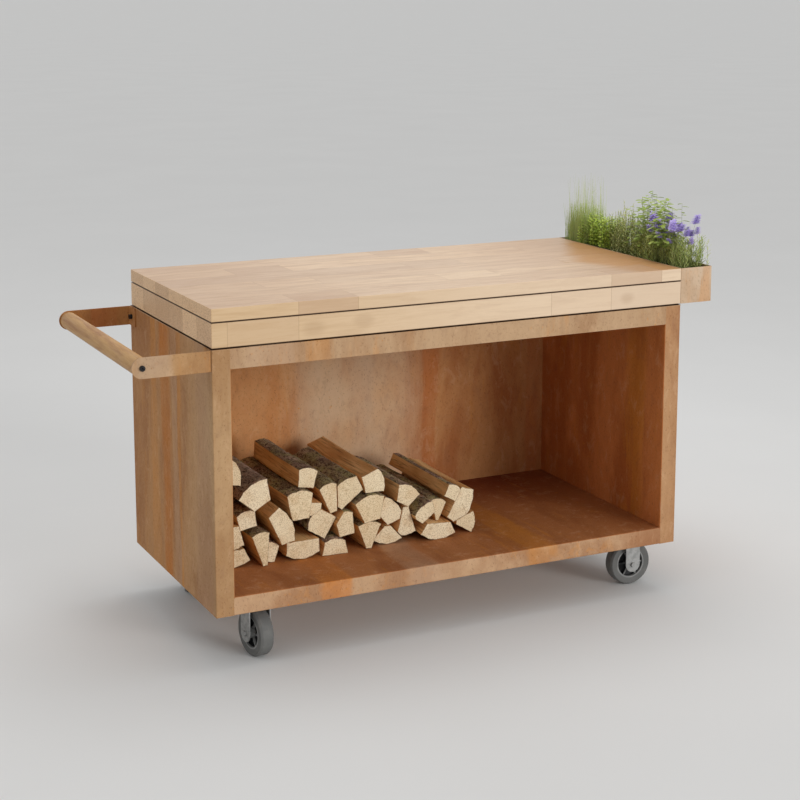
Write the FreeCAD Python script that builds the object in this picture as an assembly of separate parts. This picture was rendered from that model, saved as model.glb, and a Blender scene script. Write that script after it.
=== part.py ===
import FreeCAD, Part
import math
import os
from FreeCAD import Vector

# Outdoor worktable on castors: an open corten steel store with a double hardwood top,
# a wooden push handle on the left and a planted trough on the right.
# Millimetres. The origin is on the ground under the middle of the cabinet.
# X runs to the right along the front, Y runs to the back, Z runs up.

# Cabinet
CABINET_WIDTH = 1350.0
CABINET_DEPTH = 650.0
CABINET_HEIGHT = 672.0
SHEET = 2.0
BEND_INSIDE = 1.0
STILE_WIDTH = 49.0
TOP_RAIL_HEIGHT = 51.0
BOTTOM_RAIL_HEIGHT = 47.0
RAIL_LIP = 25.0
BACK_LIP = 20.0
BACK_PANEL_PLAY = 2.0
TOP_BACK_FLANGE = 38.0
WELD_GAP = 0.1

# Ribs under the top sheet and channels over the castors
RIB_COUNT = 3
RIB_SPACING = 300.0
RIB_WIDTH = 40.0
RIB_DEPTH = 30.0
RIB_LIP = 12.0
CHANNEL_WIDTH = 120.0
CHANNEL_SHEET = 3.0
CHANNEL_RECESS = 15.0

# Wooden top
LOWER_BOARD = 62.0
UPPER_BOARD = 35.0
BOARD_BACK_INSET = 10.0
BOARD_SIDE_INSET = 1.0
BOARD_EDGE = 1.0
GROOVE_HEIGHT = 2.5
GROOVE_DEPTH = 10.0
PAD_THICKNESS = 3.0
PAD_RADIUS = 20.0
BOARD_SCREW_X = (150.0, 500.0)
BOARD_SCREW_Y = 230.0
BOARD_SCREW_GRIP = 20.0

# Screws, bolts and nuts of 8 mm
M8_RADIUS = 4.0
M8_CLEARANCE = 0.3
M8_THREAD_CLEARANCE = 0.05
BUTTON_HEAD_RADIUS = 7.0
BUTTON_HEAD_HEIGHT = 4.4
CAP_HEAD_RADIUS = 6.5
CAP_HEAD_HEIGHT = 8.0
SOCKET_FLATS = 5.0
SOCKET_DEPTH = 3.0
HEX_FLATS = 13.0
HEX_HEAD_HEIGHT = 5.3
NUT_HEIGHT = 6.5
THREAD_STANDOUT = 3.0

# Push handle
HANDLE_REACH = 172.0
HANDLE_DROP = 27.0
ARM_HEIGHT = 51.0
ARM_SHEET = 4.0
ARM_BEND_INSIDE = 2.0
ARM_FLANGE = 50.0
GRIP_RADIUS = 23.0
GRIP_EDGE = 1.5
INSERT_RADIUS = 6.0
INSERT_LENGTH = 25.0
GRIP_SCREW_LENGTH = 22.0

# Planted trough
PLANTER_WIDTH = 101.0
PLANTER_CORNER = 2.5
PLANTER_SCREW_COUNT = 4
PLANTER_SCREW_SPACING = 170.0
PLANTER_SCREW_LENGTH = 40.0
DRAIN_COUNT = 3
DRAIN_RADIUS = 6.0
DRAIN_SPACING = 220.0
SOIL_BELOW_RIM = 12.0
SOIL_PLAY = 0.3

# Clumps of plants from back to front. Places are shares of the trough's length from its back.
# Sizes are shares of its width: half widths across and along at the foot, at the fullest
# level and at the crown, then the height and the lean to the right and to the back.
PLANT_LEVELS = (0.0, 0.6, 1.0)
PLANTS = {
    "plant_grass": {"place": 0.10, "levels": ((0.38, 0.42), (0.60, 0.52), (0.44, 0.34)),
                    "height": 2.10, "lean": (0.0, 0.10)},
    "plant_leaves": {"place": 0.32, "levels": ((0.40, 0.60), (0.58, 0.76), (0.30, 0.40)),
                     "height": 1.40, "lean": (0.0, 0.0)},
    "plant_bush": {"place": 0.54, "levels": ((0.40, 0.56), (0.60, 0.62), (0.34, 0.40)),
                   "height": 1.20, "lean": (0.0, 0.0)},
    "plant_flowers": {"place": 0.81, "levels": ((0.42, 0.87), (0.71, 0.95), (0.65, 0.79)),
                      "height": 1.88, "lean": (0.22, 0.0)},
}

# Castors
CASTOR_HEIGHT = 155.0
CASTOR_INSET_X = 123.0
CASTOR_INSET_Y = 108.0
CASTOR_TRAIL = 40.0
PLATE_LENGTH = 105.0
PLATE_WIDTH = 85.0
PLATE_THICKNESS = 3.0
PLATE_CORNER = 8.0
PLATE_HOLES_X = 80.0
PLATE_HOLES_Y = 60.0
RACE_RADIUS = 30.0
RACE_HEIGHT = 12.0
RACE_SKIRT = 2.5
RACE_GAP = 0.3
INNER_RACE_RADIUS = 22.0
KINGPIN_RADIUS = 8.0
KINGPIN_PLAY = 0.1
KINGPIN_HEAD_RADIUS = 12.0
KINGPIN_HEAD_HEIGHT = 3.5
FORK_SHEET = 3.0
FORK_CROWN_RADIUS = 33.0
FORK_LEG_START = 20.0
FORK_LEG_WIDTH = 44.0
FORK_KNEE_RISE = 46.0
FORK_SIDE_GAP = 9.0
WHEEL_RADIUS = 62.5
WHEEL_WIDTH = 38.0
TYRE_THICKNESS = 19.5
TYRE_SHOULDER_HEIGHT = 4.0
TYRE_SHOULDER_WIDTH = 6.0
TYRE_WALL_LEAN = 2.0
TYRE_EDGE = 1.5
RIM_THICKNESS = 4.0
RIM_WIDTH = 34.0
WEB_THICKNESS = 5.0
SPOKE_COUNT = 6
SPOKE_THICKNESS = 4.0
SPOKE_WIDTH = 26.0
SPOKE_ROOT = 2.0
HUB_RADIUS = 14.0
HUB_SIDE_GAP = 0.5
AXLE_SLEEVE_RADIUS = 6.0
AXLE_PLAY = 0.1

# Heading of each castor: the angle from +X to the wheel, seen from above
CASTOR_HEADINGS = {
    "front_left": -82.0,
    "front_right": -3.0,
    "rear_left": 75.0,
    "rear_right": 35.0,
}

# Stack of split logs on the floor of the store. Ends and lengths differ by waves along the
# stack, whose turn from one log to the next is in radians.
LOG_LENGTH = 345.0
LOG_LENGTH_SPREAD = 30.0
LOG_BACK_GAP = 111.0
LOG_STAGGER = 12.0
LOG_STAGGER_TURN = 2.4
LOG_LENGTH_TURN = 1.7
LOG_GAP = 0.8
LOG_FLOOR_GAP = 0.3
BARK_BULGE = 0.16
BARK_STEPS = 4

# Split logs, row by row from the floor, in units of LOG_UNIT: the middle's distance from the left
# wall, its height above the floor, the width over the bark, the width of the blunt tip, the depth
# from bark to tip; last, the way the bark faces, in degrees from +X
LOG_UNIT = 10.0
LOG_ROWS = (
    (
        (7.0, 2.6, 9.6, 6.2, 4.9, 270),
        (13.9, 4.9, 5.0, 1.4, 9.4, 98),
        (17.3, 2.8, 4.8, 3.8, 5.6, 78),
        (26.0, 2.6, 9.6, 9.2, 5.2, 270),
        (35.0, 2.4, 5.8, 7.4, 4.6, 90),
        (51.1, 2.6, 8.8, 1.8, 5.2, 268),
        (65.3, 2.4, 11.0, 7.4, 4.8, 265),
        (74.6, 3.0, 6.2, 1.4, 5.8, 355),
    ),
    (
        (6.4, 8.6, 7.6, 3.6, 6.4, 265),
        (19.8, 10.5, 10.6, 8.8, 5.4, 25),
        (32.1, 8.8, 6.6, 6.6, 6.8, 148),
        (37.8, 8.0, 5.4, 4.4, 6.8, 100),
        (45.2, 4.0, 6.8, 1.6, 7.6, 88),
        (56.8, 5.8, 5.8, 1.8, 8.2, 272),
        (61.2, 8.2, 7.0, 4.8, 4.2, 126),
        (66.3, 7.3, 5.0, 1.6, 7.4, 80),
        (72.7, 8.2, 10.6, 9.2, 5.5, 332),
    ),
    (
        (3.4, 14.6, 6.2, 5.0, 5.4, 200),
        (11.0, 12.4, 5.4, 5.0, 5.0, 100),
        (25.0, 15.2, 7.4, 5.0, 8.0, 92),
        (29.0, 13.2, 5.0, 4.6, 3.8, 262),
        (33.7, 15.2, 5.4, 2.2, 8.4, 103),
        (44.9, 11.3, 8.8, 4.8, 7.4, 98),
        (51.9, 9.4, 8.4, 5.0, 6.0, 40),
        (56.7, 13.6, 7.2, 4.0, 5.6, 62),
        (70.1, 12.3, 4.6, 4.0, 4.2, 61),
    ),
    (
        (4.0, 19.8, 6.4, 5.0, 4.6, 185),
        (12.4, 19.2, 9.4, 5.4, 7.0, 120),
        (38.8, 16.1, 10.0, 7.8, 6.0, 129),
        (46.6, 17.8, 7.4, 6.4, 6.4, 15),
    ),
    (
        (6.0, 26.2, 8.4, 6.0, 4.8, 20),
        (28.2, 21.4, 5.6, 4.6, 5.6, 80),
    ),
)

# Levels and planes that the pieces share
CHANNEL_BOTTOM = CASTOR_HEIGHT
CABINET_BOTTOM = CHANNEL_BOTTOM - CHANNEL_RECESS
CABINET_TOP = CABINET_BOTTOM + CABINET_HEIGHT
STORE_FLOOR = CABINET_BOTTOM + BOTTOM_RAIL_HEIGHT
BOARD_BOTTOM = CABINET_TOP + PAD_THICKNESS
BOARD_MIDDLE = BOARD_BOTTOM + LOWER_BOARD
BOARD_TOP = BOARD_MIDDLE + UPPER_BOARD
LEFT = -CABINET_WIDTH / 2
RIGHT = CABINET_WIDTH / 2
FRONT = -CABINET_DEPTH / 2
BACK = CABINET_DEPTH / 2
BACK_PANEL_FACE = BACK - 2 * SHEET
LOG_FRONT = BACK_PANEL_FACE - LOG_BACK_GAP - LOG_LENGTH
BOARD_LEFT = LEFT + BOARD_SIDE_INSET
BOARD_RIGHT = RIGHT - BOARD_SIDE_INSET
BOARD_BACK = BACK - BOARD_BACK_INSET
BOARD_CENTRE = (FRONT + BOARD_BACK) / 2
HANDLE_LEVEL = CABINET_TOP - HANDLE_DROP
PLANTER_LEFT = BOARD_RIGHT
PLANTER_RIGHT = PLANTER_LEFT + PLANTER_WIDTH
SOIL_TOP = BOARD_TOP - SOIL_BELOW_RIM
AXIS_X = Vector(1, 0, 0)
AXIS_Y = Vector(0, 1, 0)
AXIS_Z = Vector(0, 0, 1)


def save(name, solids):
    """Write the solids of one sub-part to its own file."""
    shape = solids[0] if len(solids) == 1 else Part.makeCompound(solids)
    shape.exportStep(os.path.join("parts", name + ".step"))
    print(name, len(solids), "solid(s)", round(sum(solid.Volume for solid in solids) / 1000.0, 1), "cm3")


def block(low, high):
    """A box between two opposite corners."""
    size = Vector(*high) - Vector(*low)
    return Part.makeBox(size.x, size.y, size.z, Vector(*low))


def rod(radius, start, end):
    """A round rod from one point to another."""
    start = Vector(*start)
    span = Vector(*end) - start
    return Part.makeCylinder(radius, span.Length, start, span)


def outline_face(points):
    """A flat face inside a closed outline of corner points."""
    corners = [Vector(*point) for point in points]
    return Part.Face(Part.makePolygon(corners + corners[:1]))


def edges_along(shape, axis):
    """The straight edges that run along an axis."""
    straight = [edge for edge in shape.Edges if isinstance(edge.Curve, Part.Line)]
    return [edge for edge in straight if edge.tangentAt(edge.FirstParameter).cross(axis).Length < 1e-6]


def edges_through(shape, axis, points):
    """The straight edges along an axis whose line passes through one of the points."""
    found = []
    for edge in edges_along(shape, axis):
        start = edge.Vertexes[0].Point
        for point in points:
            if (Vector(*point) - start).cross(axis).Length < 1e-4:
                found.append(edge)
                break
    return found


def hexagon_prism(flats, start, axis, length):
    """A six-sided prism, for bolt heads, nuts and sockets."""
    corner = flats / math.sqrt(3.0)
    turns = [math.radians(60 * index) for index in range(6)]
    points = [Vector(corner * math.cos(turn), corner * math.sin(turn), 0) for turn in turns]
    prism = Part.Face(Part.makePolygon(points + points[:1])).extrude(Vector(0, 0, length))
    prism.Placement = FreeCAD.Placement(Vector(*start), FreeCAD.Rotation(AXIS_Z, axis))
    return prism


def socket_screw(seat, axis, shank, head_radius, head_height):
    """A socket screw: the seat is under its head and the axis points along the shank."""
    seat = Vector(*seat)
    crown = seat - axis * head_height
    screw = Part.makeCylinder(head_radius, head_height, crown, axis)
    screw = screw.fuse(Part.makeCylinder(M8_RADIUS, shank, seat, axis))
    screw = screw.cut(hexagon_prism(SOCKET_FLATS, crown, axis, SOCKET_DEPTH))
    return screw.removeSplitter().Solids[0]


def hex_bolt(seat, axis, shank):
    """A hexagon bolt with its head seated at the given point."""
    seat = Vector(*seat)
    head = hexagon_prism(HEX_FLATS, seat - axis * HEX_HEAD_HEIGHT, axis, HEX_HEAD_HEIGHT)
    return head.fuse(Part.makeCylinder(M8_RADIUS, shank, seat, axis)).removeSplitter().Solids[0]


def hex_nut(seat, axis):
    """A hexagon nut that stands on the seat, with its thread bore."""
    nut = hexagon_prism(HEX_FLATS, seat, axis, NUT_HEIGHT)
    bore = Part.makeCylinder(M8_RADIUS + M8_THREAD_CLEARANCE, NUT_HEIGHT, Vector(*seat), axis)
    return nut.cut(bore).Solids[0]


def handle_bolt_places():
    """Centres of the two handle bolts on the left wall."""
    return [(FRONT + ARM_FLANGE / 2, HANDLE_LEVEL), (BACK - ARM_FLANGE / 2, HANDLE_LEVEL)]


def make_left_wall():
    """Left side: one sheet folded into outer skin, front stile, inner skin and back lip."""
    outside, inside = LEFT, LEFT + STILE_WIDTH
    plan = [
        (outside, FRONT), (inside, FRONT),
        (inside, BACK_PANEL_FACE), (inside - SHEET, BACK_PANEL_FACE),
        (inside - SHEET, FRONT + SHEET), (outside + SHEET, FRONT + SHEET),
        (outside + SHEET, BACK - SHEET), (outside + BACK_LIP, BACK - SHEET),
        (outside + BACK_LIP, BACK), (outside, BACK),
    ]
    wall = outline_face([(x, y, CABINET_BOTTOM) for x, y in plan])
    wall = wall.extrude(Vector(0, 0, CABINET_HEIGHT - SHEET))
    outer_bends = [(outside, FRONT, 0), (inside, FRONT, 0), (outside, BACK, 0)]
    inner_bends = [(inside - SHEET, FRONT + SHEET, 0), (outside + SHEET, FRONT + SHEET, 0),
                   (outside + SHEET, BACK - SHEET, 0)]
    wall = wall.makeFillet(SHEET + BEND_INSIDE, edges_through(wall, AXIS_Z, outer_bends))
    wall = wall.makeFillet(BEND_INSIDE, edges_through(wall, AXIS_Z, inner_bends))
    return wall.Solids[0]


def make_side_walls():
    """The left wall has the handle's bolt holes; the right wall is its plain mirror image."""
    plain = make_left_wall()
    holes = [rod(M8_RADIUS + M8_CLEARANCE, (LEFT - 1, y, z), (LEFT + SHEET + 1, y, z))
             for y, z in handle_bolt_places()]
    save("left_wall", [plain.cut(holes).Solids[0]])
    save("right_wall", [plain.mirror(Vector(0, 0, 0), AXIS_X).Solids[0]])


def board_screw_places():
    """Plan positions of the screws and pads under the boards."""
    return [(side * x, end * BOARD_SCREW_Y) for x in BOARD_SCREW_X for side in (-1, 1) for end in (-1, 1)]


def fold_along_x(profile, half_length):
    """A folded sheet of constant section in the YZ plane, centred on X = 0."""
    return outline_face([(-half_length, y, z) for y, z in profile]).extrude(Vector(2 * half_length, 0, 0))


def weld_fills(low, high):
    """Weld metal, ground flush, between the ends of a front rail and the round bends of the stiles."""
    bend = SHEET + BEND_INSIDE
    fills = []
    for side in (-1, 1):
        edge = side * (RIGHT - STILE_WIDTH)
        middle = edge + side * bend
        fill = block((min(edge, middle), FRONT, low), (max(edge, middle), FRONT + bend, high))
        fills.append(fill.cut(rod(bend + WELD_GAP, (middle, FRONT + bend, low), (middle, FRONT + bend, high))))
    return fills


def make_top_panel():
    """Top sheet with the front rail folded down between the stiles and a flange at the back."""
    rail_bottom = CABINET_TOP - TOP_RAIL_HEIGHT
    under = CABINET_TOP - SHEET
    between = RIGHT - STILE_WIDTH
    rail = [
        (FRONT, under), (FRONT, rail_bottom), (FRONT + RAIL_LIP, rail_bottom),
        (FRONT + RAIL_LIP, rail_bottom + SHEET), (FRONT + SHEET, rail_bottom + SHEET), (FRONT + SHEET, under),
    ]
    panel = block((LEFT, FRONT, under), (RIGHT, BACK, CABINET_TOP))
    panel = panel.fuse(fold_along_x(rail, between))
    panel = panel.fuse(block((LEFT + BACK_LIP, BACK - SHEET, CABINET_TOP - TOP_BACK_FLANGE),
                             (RIGHT - BACK_LIP, BACK, under)))
    panel = panel.removeSplitter()
    panel = panel.makeFillet(BEND_INSIDE, edges_through(panel, AXIS_X, [(0, FRONT, rail_bottom),
                                                                       (0, FRONT, CABINET_TOP),
                                                                       (0, BACK, CABINET_TOP)]))
    panel = panel.fuse(weld_fills(rail_bottom + BEND_INSIDE, under))
    holes = [rod(M8_RADIUS + M8_CLEARANCE, (x, y, under - 1), (x, y, CABINET_TOP + 1))
             for x, y in board_screw_places()]
    save("top_panel", [panel.cut(holes).Solids[0]])


def make_base_panel():
    """Floor of the store, folded down into the bottom rail at the front and a flange at the back."""
    floor_under = STORE_FLOOR - SHEET
    profile = [
        (FRONT, CABINET_BOTTOM), (FRONT + RAIL_LIP, CABINET_BOTTOM),
        (FRONT + RAIL_LIP, CABINET_BOTTOM + SHEET), (FRONT + SHEET, CABINET_BOTTOM + SHEET),
        (FRONT + SHEET, floor_under), (BACK_PANEL_FACE - SHEET, floor_under),
        (BACK_PANEL_FACE - SHEET, CABINET_BOTTOM), (BACK_PANEL_FACE, CABINET_BOTTOM),
        (BACK_PANEL_FACE, STORE_FLOOR), (FRONT, STORE_FLOOR),
    ]
    panel = fold_along_x(profile, RIGHT - STILE_WIDTH)
    panel = panel.makeFillet(SHEET + BEND_INSIDE, edges_through(panel, AXIS_X, [(0, FRONT, CABINET_BOTTOM),
                                                                               (0, FRONT, STORE_FLOOR)]))
    panel = panel.makeFillet(BEND_INSIDE, edges_through(panel, AXIS_X, [
        (0, FRONT + SHEET, CABINET_BOTTOM + SHEET), (0, FRONT + SHEET, floor_under)]))
    bend = SHEET + BEND_INSIDE
    panel = panel.fuse(weld_fills(CABINET_BOTTOM + bend, STORE_FLOOR - bend))
    save("base_panel", [panel.Solids[0]])


def make_back_panel():
    """Plain back sheet held between the wall lips, the inner skins and the flanges."""
    play = SHEET + BACK_PANEL_PLAY
    save("back_panel", [block((LEFT + play, BACK_PANEL_FACE, CABINET_BOTTOM),
                              (RIGHT - play, BACK - SHEET, CABINET_TOP - SHEET))])


def hat_section(centre, width, depth, lip, sheet, top):
    """Corner points of a hat-shaped rib in the XZ plane, hung under the level top."""
    half = width / 2
    right = [
        (half + lip, top), (half + lip, top - sheet), (half, top - sheet), (half, top - depth),
    ]
    hollow = [(half - sheet, top - depth + sheet), (half - sheet, top)]
    left = [(-x, z) for x, z in reversed(right)]
    return [(centre + x, z) for x, z in right + left + [(-x, z) for x, z in reversed(hollow)] + hollow]


def make_top_ribs():
    """Hat ribs that carry the boards' load from the front rail to the back sheet."""
    under = CABINET_TOP - SHEET
    for index in range(RIB_COUNT):
        centre = (index - (RIB_COUNT - 1) / 2) * RIB_SPACING
        section = hat_section(centre, RIB_WIDTH, RIB_DEPTH, RIB_LIP, SHEET, under)
        rib = outline_face([(x, FRONT + SHEET, z) for x, z in section])
        rib = rib.extrude(Vector(0, BACK_PANEL_FACE - FRONT - SHEET, 0))
        save("top_rib_%d" % (index + 1), [rib.Solids[0]])


def castor_places():
    """Plan position of each castor's swivel axis."""
    x = RIGHT - CASTOR_INSET_X
    y = BACK - CASTOR_INSET_Y
    return {"front_left": (-x, -y), "front_right": (x, -y), "rear_left": (-x, y), "rear_right": (x, y)}


def plate_hole_places(centre):
    """Centres of the four bolt holes of one castor plate."""
    x, y = centre
    return [(x + side * PLATE_HOLES_X / 2, y + end * PLATE_HOLES_Y / 2)
            for side in (-1, 1) for end in (-1, 1)]


def make_castor_channels():
    """Upward channels under the floor that take the castor bolts."""
    top = STORE_FLOOR - SHEET
    half = CHANNEL_WIDTH / 2
    for side, name in ((-1, "castor_channel_left"), (1, "castor_channel_right")):
        centre = side * (RIGHT - CASTOR_INSET_X)
        outline = [
            (-half, top), (-half, CHANNEL_BOTTOM), (half, CHANNEL_BOTTOM), (half, top),
            (half - CHANNEL_SHEET, top), (half - CHANNEL_SHEET, CHANNEL_BOTTOM + CHANNEL_SHEET),
            (-half + CHANNEL_SHEET, CHANNEL_BOTTOM + CHANNEL_SHEET), (-half + CHANNEL_SHEET, top),
        ]
        start = FRONT + RAIL_LIP
        channel = outline_face([(centre + x, start, z) for x, z in outline])
        channel = channel.extrude(Vector(0, BACK_PANEL_FACE - SHEET - start, 0))
        channel = channel.makeFillet(CHANNEL_SHEET + BEND_INSIDE, edges_through(channel, AXIS_Y, [
            (centre - half, 0, CHANNEL_BOTTOM), (centre + half, 0, CHANNEL_BOTTOM)]))
        holes = [rod(M8_RADIUS + M8_CLEARANCE, (x, y, CHANNEL_BOTTOM - 1),
                     (x, y, CHANNEL_BOTTOM + CHANNEL_SHEET + 1))
                 for place in castor_places().values() if place[0] * side > 0
                 for x, y in plate_hole_places(place)]
        save(name, [channel.cut(holes).Solids[0]])


def eased_board(bottom, thickness):
    """A solid wooden board with eased edges, flush with the cabinet's front."""
    board = block((BOARD_LEFT, FRONT, bottom), (BOARD_RIGHT, BOARD_BACK, bottom + thickness))
    return board.makeChamfer(BOARD_EDGE, board.Edges)


def shadow_groove():
    """The rebate round the foot of the upper board, which draws a dark line between the boards."""
    low, high = BOARD_MIDDLE - 1, BOARD_MIDDLE + GROOVE_HEIGHT
    foot = block((BOARD_LEFT - 1, FRONT - 1, low), (BOARD_RIGHT + 1, BOARD_BACK + 1, high))
    return foot.cut(block((BOARD_LEFT + GROOVE_DEPTH, FRONT + GROOVE_DEPTH, low),
                          (BOARD_RIGHT - GROOVE_DEPTH, BOARD_BACK - GROOVE_DEPTH, high)))


def make_boards():
    """Two boards laid flat on each other, drilled for the long screws from below."""
    lower = eased_board(BOARD_BOTTOM, LOWER_BOARD)
    upper = eased_board(BOARD_MIDDLE, UPPER_BOARD).cut(shadow_groove())
    grip_end = BOARD_MIDDLE + BOARD_SCREW_GRIP
    lower_holes = [rod(M8_RADIUS + M8_CLEARANCE, (x, y, BOARD_BOTTOM - 1), (x, y, BOARD_MIDDLE + 1))
                   for x, y in board_screw_places()]
    upper_holes = [rod(M8_RADIUS + M8_THREAD_CLEARANCE, (x, y, BOARD_MIDDLE - 1), (x, y, grip_end))
                   for x, y in board_screw_places()]
    lower_holes += [rod(M8_RADIUS + M8_THREAD_CLEARANCE, (BOARD_RIGHT + 1, y, z),
                        (BOARD_RIGHT - PLANTER_SCREW_LENGTH, y, z)) for y, z in planter_screw_places()]
    save("lower_board", [lower.cut(lower_holes).Solids[0]])
    save("upper_board", [upper.cut(upper_holes).Solids[0]])
    pads = []
    screws = []
    for x, y in board_screw_places():
        pad = rod(PAD_RADIUS, (x, y, CABINET_TOP), (x, y, BOARD_BOTTOM))
        hole = rod(M8_RADIUS + M8_CLEARANCE, (x, y, CABINET_TOP), (x, y, BOARD_BOTTOM))
        pads.append(pad.cut(hole).Solids[0])
        seat = CABINET_TOP - SHEET
        screws.append(socket_screw((x, y, seat), AXIS_Z, grip_end - seat,
                                   BUTTON_HEAD_RADIUS, BUTTON_HEAD_HEIGHT))
    save("board_pads", pads)
    save("board_screws", screws)


def make_front_arm():
    """Handle arm: a flat bar with a round end, folded into a flange against the wall."""
    end = LEFT - HANDLE_REACH
    inner_x, inner_y = LEFT - ARM_SHEET, FRONT + ARM_SHEET
    low, high = HANDLE_LEVEL - ARM_HEIGHT / 2, HANDLE_LEVEL + ARM_HEIGHT / 2
    plan = [
        (end, FRONT), (LEFT, FRONT), (LEFT, FRONT + ARM_FLANGE),
        (inner_x, FRONT + ARM_FLANGE), (inner_x, inner_y), (end, inner_y),
    ]
    arm = outline_face([(x, y, low) for x, y in plan]).extrude(Vector(0, 0, high - low))
    arm = arm.makeFillet(ARM_SHEET + ARM_BEND_INSIDE, edges_through(arm, AXIS_Z, [(LEFT, FRONT, 0)]))
    arm = arm.makeFillet(ARM_BEND_INSIDE, edges_through(arm, AXIS_Z, [(inner_x, inner_y, 0)]))
    arm = arm.fuse(rod(ARM_HEIGHT / 2, (end, FRONT, HANDLE_LEVEL), (end, inner_y, HANDLE_LEVEL)))
    arm = arm.removeSplitter()
    wall_y = FRONT + ARM_FLANGE / 2
    hole = M8_RADIUS + M8_CLEARANCE
    arm = arm.cut([rod(hole, (end, FRONT - 1, HANDLE_LEVEL), (end, inner_y + 1, HANDLE_LEVEL)),
                   rod(hole, (inner_x - 1, wall_y, HANDLE_LEVEL), (LEFT + 1, wall_y, HANDLE_LEVEL))])
    return arm.Solids[0]


def make_handle():
    """Round wooden grip between the two arms, with its inserts, screws and wall bolts."""
    front_arm = make_front_arm()
    save("handle_arm_front", [front_arm])
    save("handle_arm_rear", [front_arm.mirror(Vector(0, 0, 0), AXIS_Y).Solids[0]])
    end = LEFT - HANDLE_REACH
    reach = BACK - ARM_SHEET
    grip = rod(GRIP_RADIUS, (end, -reach, HANDLE_LEVEL), (end, reach, HANDLE_LEVEL))
    grip = grip.makeChamfer(GRIP_EDGE, [edge for edge in grip.Edges if isinstance(edge.Curve, Part.Circle)])
    inserts = []
    screws = []
    for side in (-1, 1):
        inward = Vector(0, -side, 0)
        face = Vector(end, side * reach, HANDLE_LEVEL)
        grip = grip.cut(Part.makeCylinder(INSERT_RADIUS, INSERT_LENGTH, face, inward))
        insert = Part.makeCylinder(INSERT_RADIUS, INSERT_LENGTH, face, inward)
        bore = Part.makeCylinder(M8_RADIUS + M8_THREAD_CLEARANCE, INSERT_LENGTH, face, inward)
        inserts.append(insert.cut(bore).Solids[0])
        seat = (end, side * BACK, HANDLE_LEVEL)
        screws.append(socket_screw(seat, inward, GRIP_SCREW_LENGTH, BUTTON_HEAD_RADIUS, BUTTON_HEAD_HEIGHT))
    save("handle_grip", [grip.Solids[0]])
    save("grip_inserts", inserts)
    save("grip_screws", screws)
    bolts = []
    nuts = []
    shank = ARM_SHEET + SHEET + NUT_HEIGHT + THREAD_STANDOUT
    for y, z in handle_bolt_places():
        bolts.append(socket_screw((LEFT - ARM_SHEET, y, z), AXIS_X, shank, CAP_HEAD_RADIUS, CAP_HEAD_HEIGHT))
        nuts.append(hex_nut((LEFT + SHEET, y, z), AXIS_X))
    save("arm_bolts", bolts)
    save("arm_nuts", nuts)


def planter_screw_places():
    """Places of the trough's screws on the end of the lower board."""
    first = -(PLANTER_SCREW_COUNT - 1) / 2
    return [(BOARD_CENTRE + (first + index) * PLANTER_SCREW_SPACING, BOARD_BOTTOM + LOWER_BOARD / 2)
            for index in range(PLANTER_SCREW_COUNT)]


def make_planter():
    """Open trough of folded sheet, screwed to the board end, with drain holes and soil."""
    outer = block((PLANTER_LEFT, FRONT, BOARD_BOTTOM), (PLANTER_RIGHT, BOARD_BACK, BOARD_TOP))
    outer = outer.makeFillet(PLANTER_CORNER, edges_along(outer, AXIS_Z))
    inside_low = (PLANTER_LEFT + SHEET, FRONT + SHEET, BOARD_BOTTOM + SHEET)
    inside_high = (PLANTER_RIGHT - SHEET, BOARD_BACK - SHEET, BOARD_TOP)
    trough = outer.cut(block(inside_low, inside_high))
    centre_x = (PLANTER_LEFT + PLANTER_RIGHT) / 2
    drains = []
    for index in range(DRAIN_COUNT):
        y = BOARD_CENTRE + (index - (DRAIN_COUNT - 1) / 2) * DRAIN_SPACING
        drains.append(rod(DRAIN_RADIUS, (centre_x, y, BOARD_BOTTOM - 1),
                          (centre_x, y, BOARD_BOTTOM + SHEET + 1)))
    holes = [rod(M8_RADIUS + M8_CLEARANCE, (PLANTER_LEFT - 1, y, z), (PLANTER_LEFT + SHEET + 1, y, z))
             for y, z in planter_screw_places()]
    save("planter_box", [trough.cut(drains + holes).Solids[0]])
    inward = Vector(-1, 0, 0)
    screws = [socket_screw((PLANTER_LEFT + SHEET, y, z), inward, SHEET + PLANTER_SCREW_LENGTH,
                           BUTTON_HEAD_RADIUS, BUTTON_HEAD_HEIGHT) for y, z in planter_screw_places()]
    save("planter_screws", screws)
    soil = block((inside_low[0] + SOIL_PLAY, inside_low[1] + SOIL_PLAY, inside_low[2]),
                 (inside_high[0] - SOIL_PLAY, inside_high[1] - SOIL_PLAY, SOIL_TOP))
    pockets = [rod(BUTTON_HEAD_RADIUS + SOIL_PLAY, (PLANTER_LEFT, y, z),
                   (PLANTER_LEFT + SHEET + BUTTON_HEAD_HEIGHT + SOIL_PLAY, y, z))
               for y, z in planter_screw_places()]
    save("planter_soil", [soil.cut(pockets).Solids[0]])


def plant_mass(place, levels, height, lean):
    """The space that one clump of plants fills: three oval sections joined by a soft skin."""
    x = (PLANTER_LEFT + PLANTER_RIGHT) / 2
    y = BOARD_BACK - place * (BOARD_BACK - FRONT)
    sections = []
    for rise, (across, along) in zip(PLANT_LEVELS, levels):
        half_x, half_y = across * PLANTER_WIDTH, along * PLANTER_WIDTH
        oval = Part.Ellipse(Vector(0, 0, 0), max(half_x, half_y), min(half_x, half_y)).toShape()
        turn = 0 if half_x >= half_y else 90
        centre = Vector(x, y, SOIL_TOP) + Vector(lean[0], lean[1], height) * (rise * PLANTER_WIDTH)
        oval.Placement = FreeCAD.Placement(centre, FreeCAD.Rotation(AXIS_Z, turn))
        sections.append(Part.Wire(oval))
    return Part.makeLoft(sections, True, True).Solids[0]


def make_plants():
    """Four clumps from back to front: tall grass, leafy herbs, low bush, flowers."""
    for name, clump in PLANTS.items():
        save(name, [plant_mass(**clump)])


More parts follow.
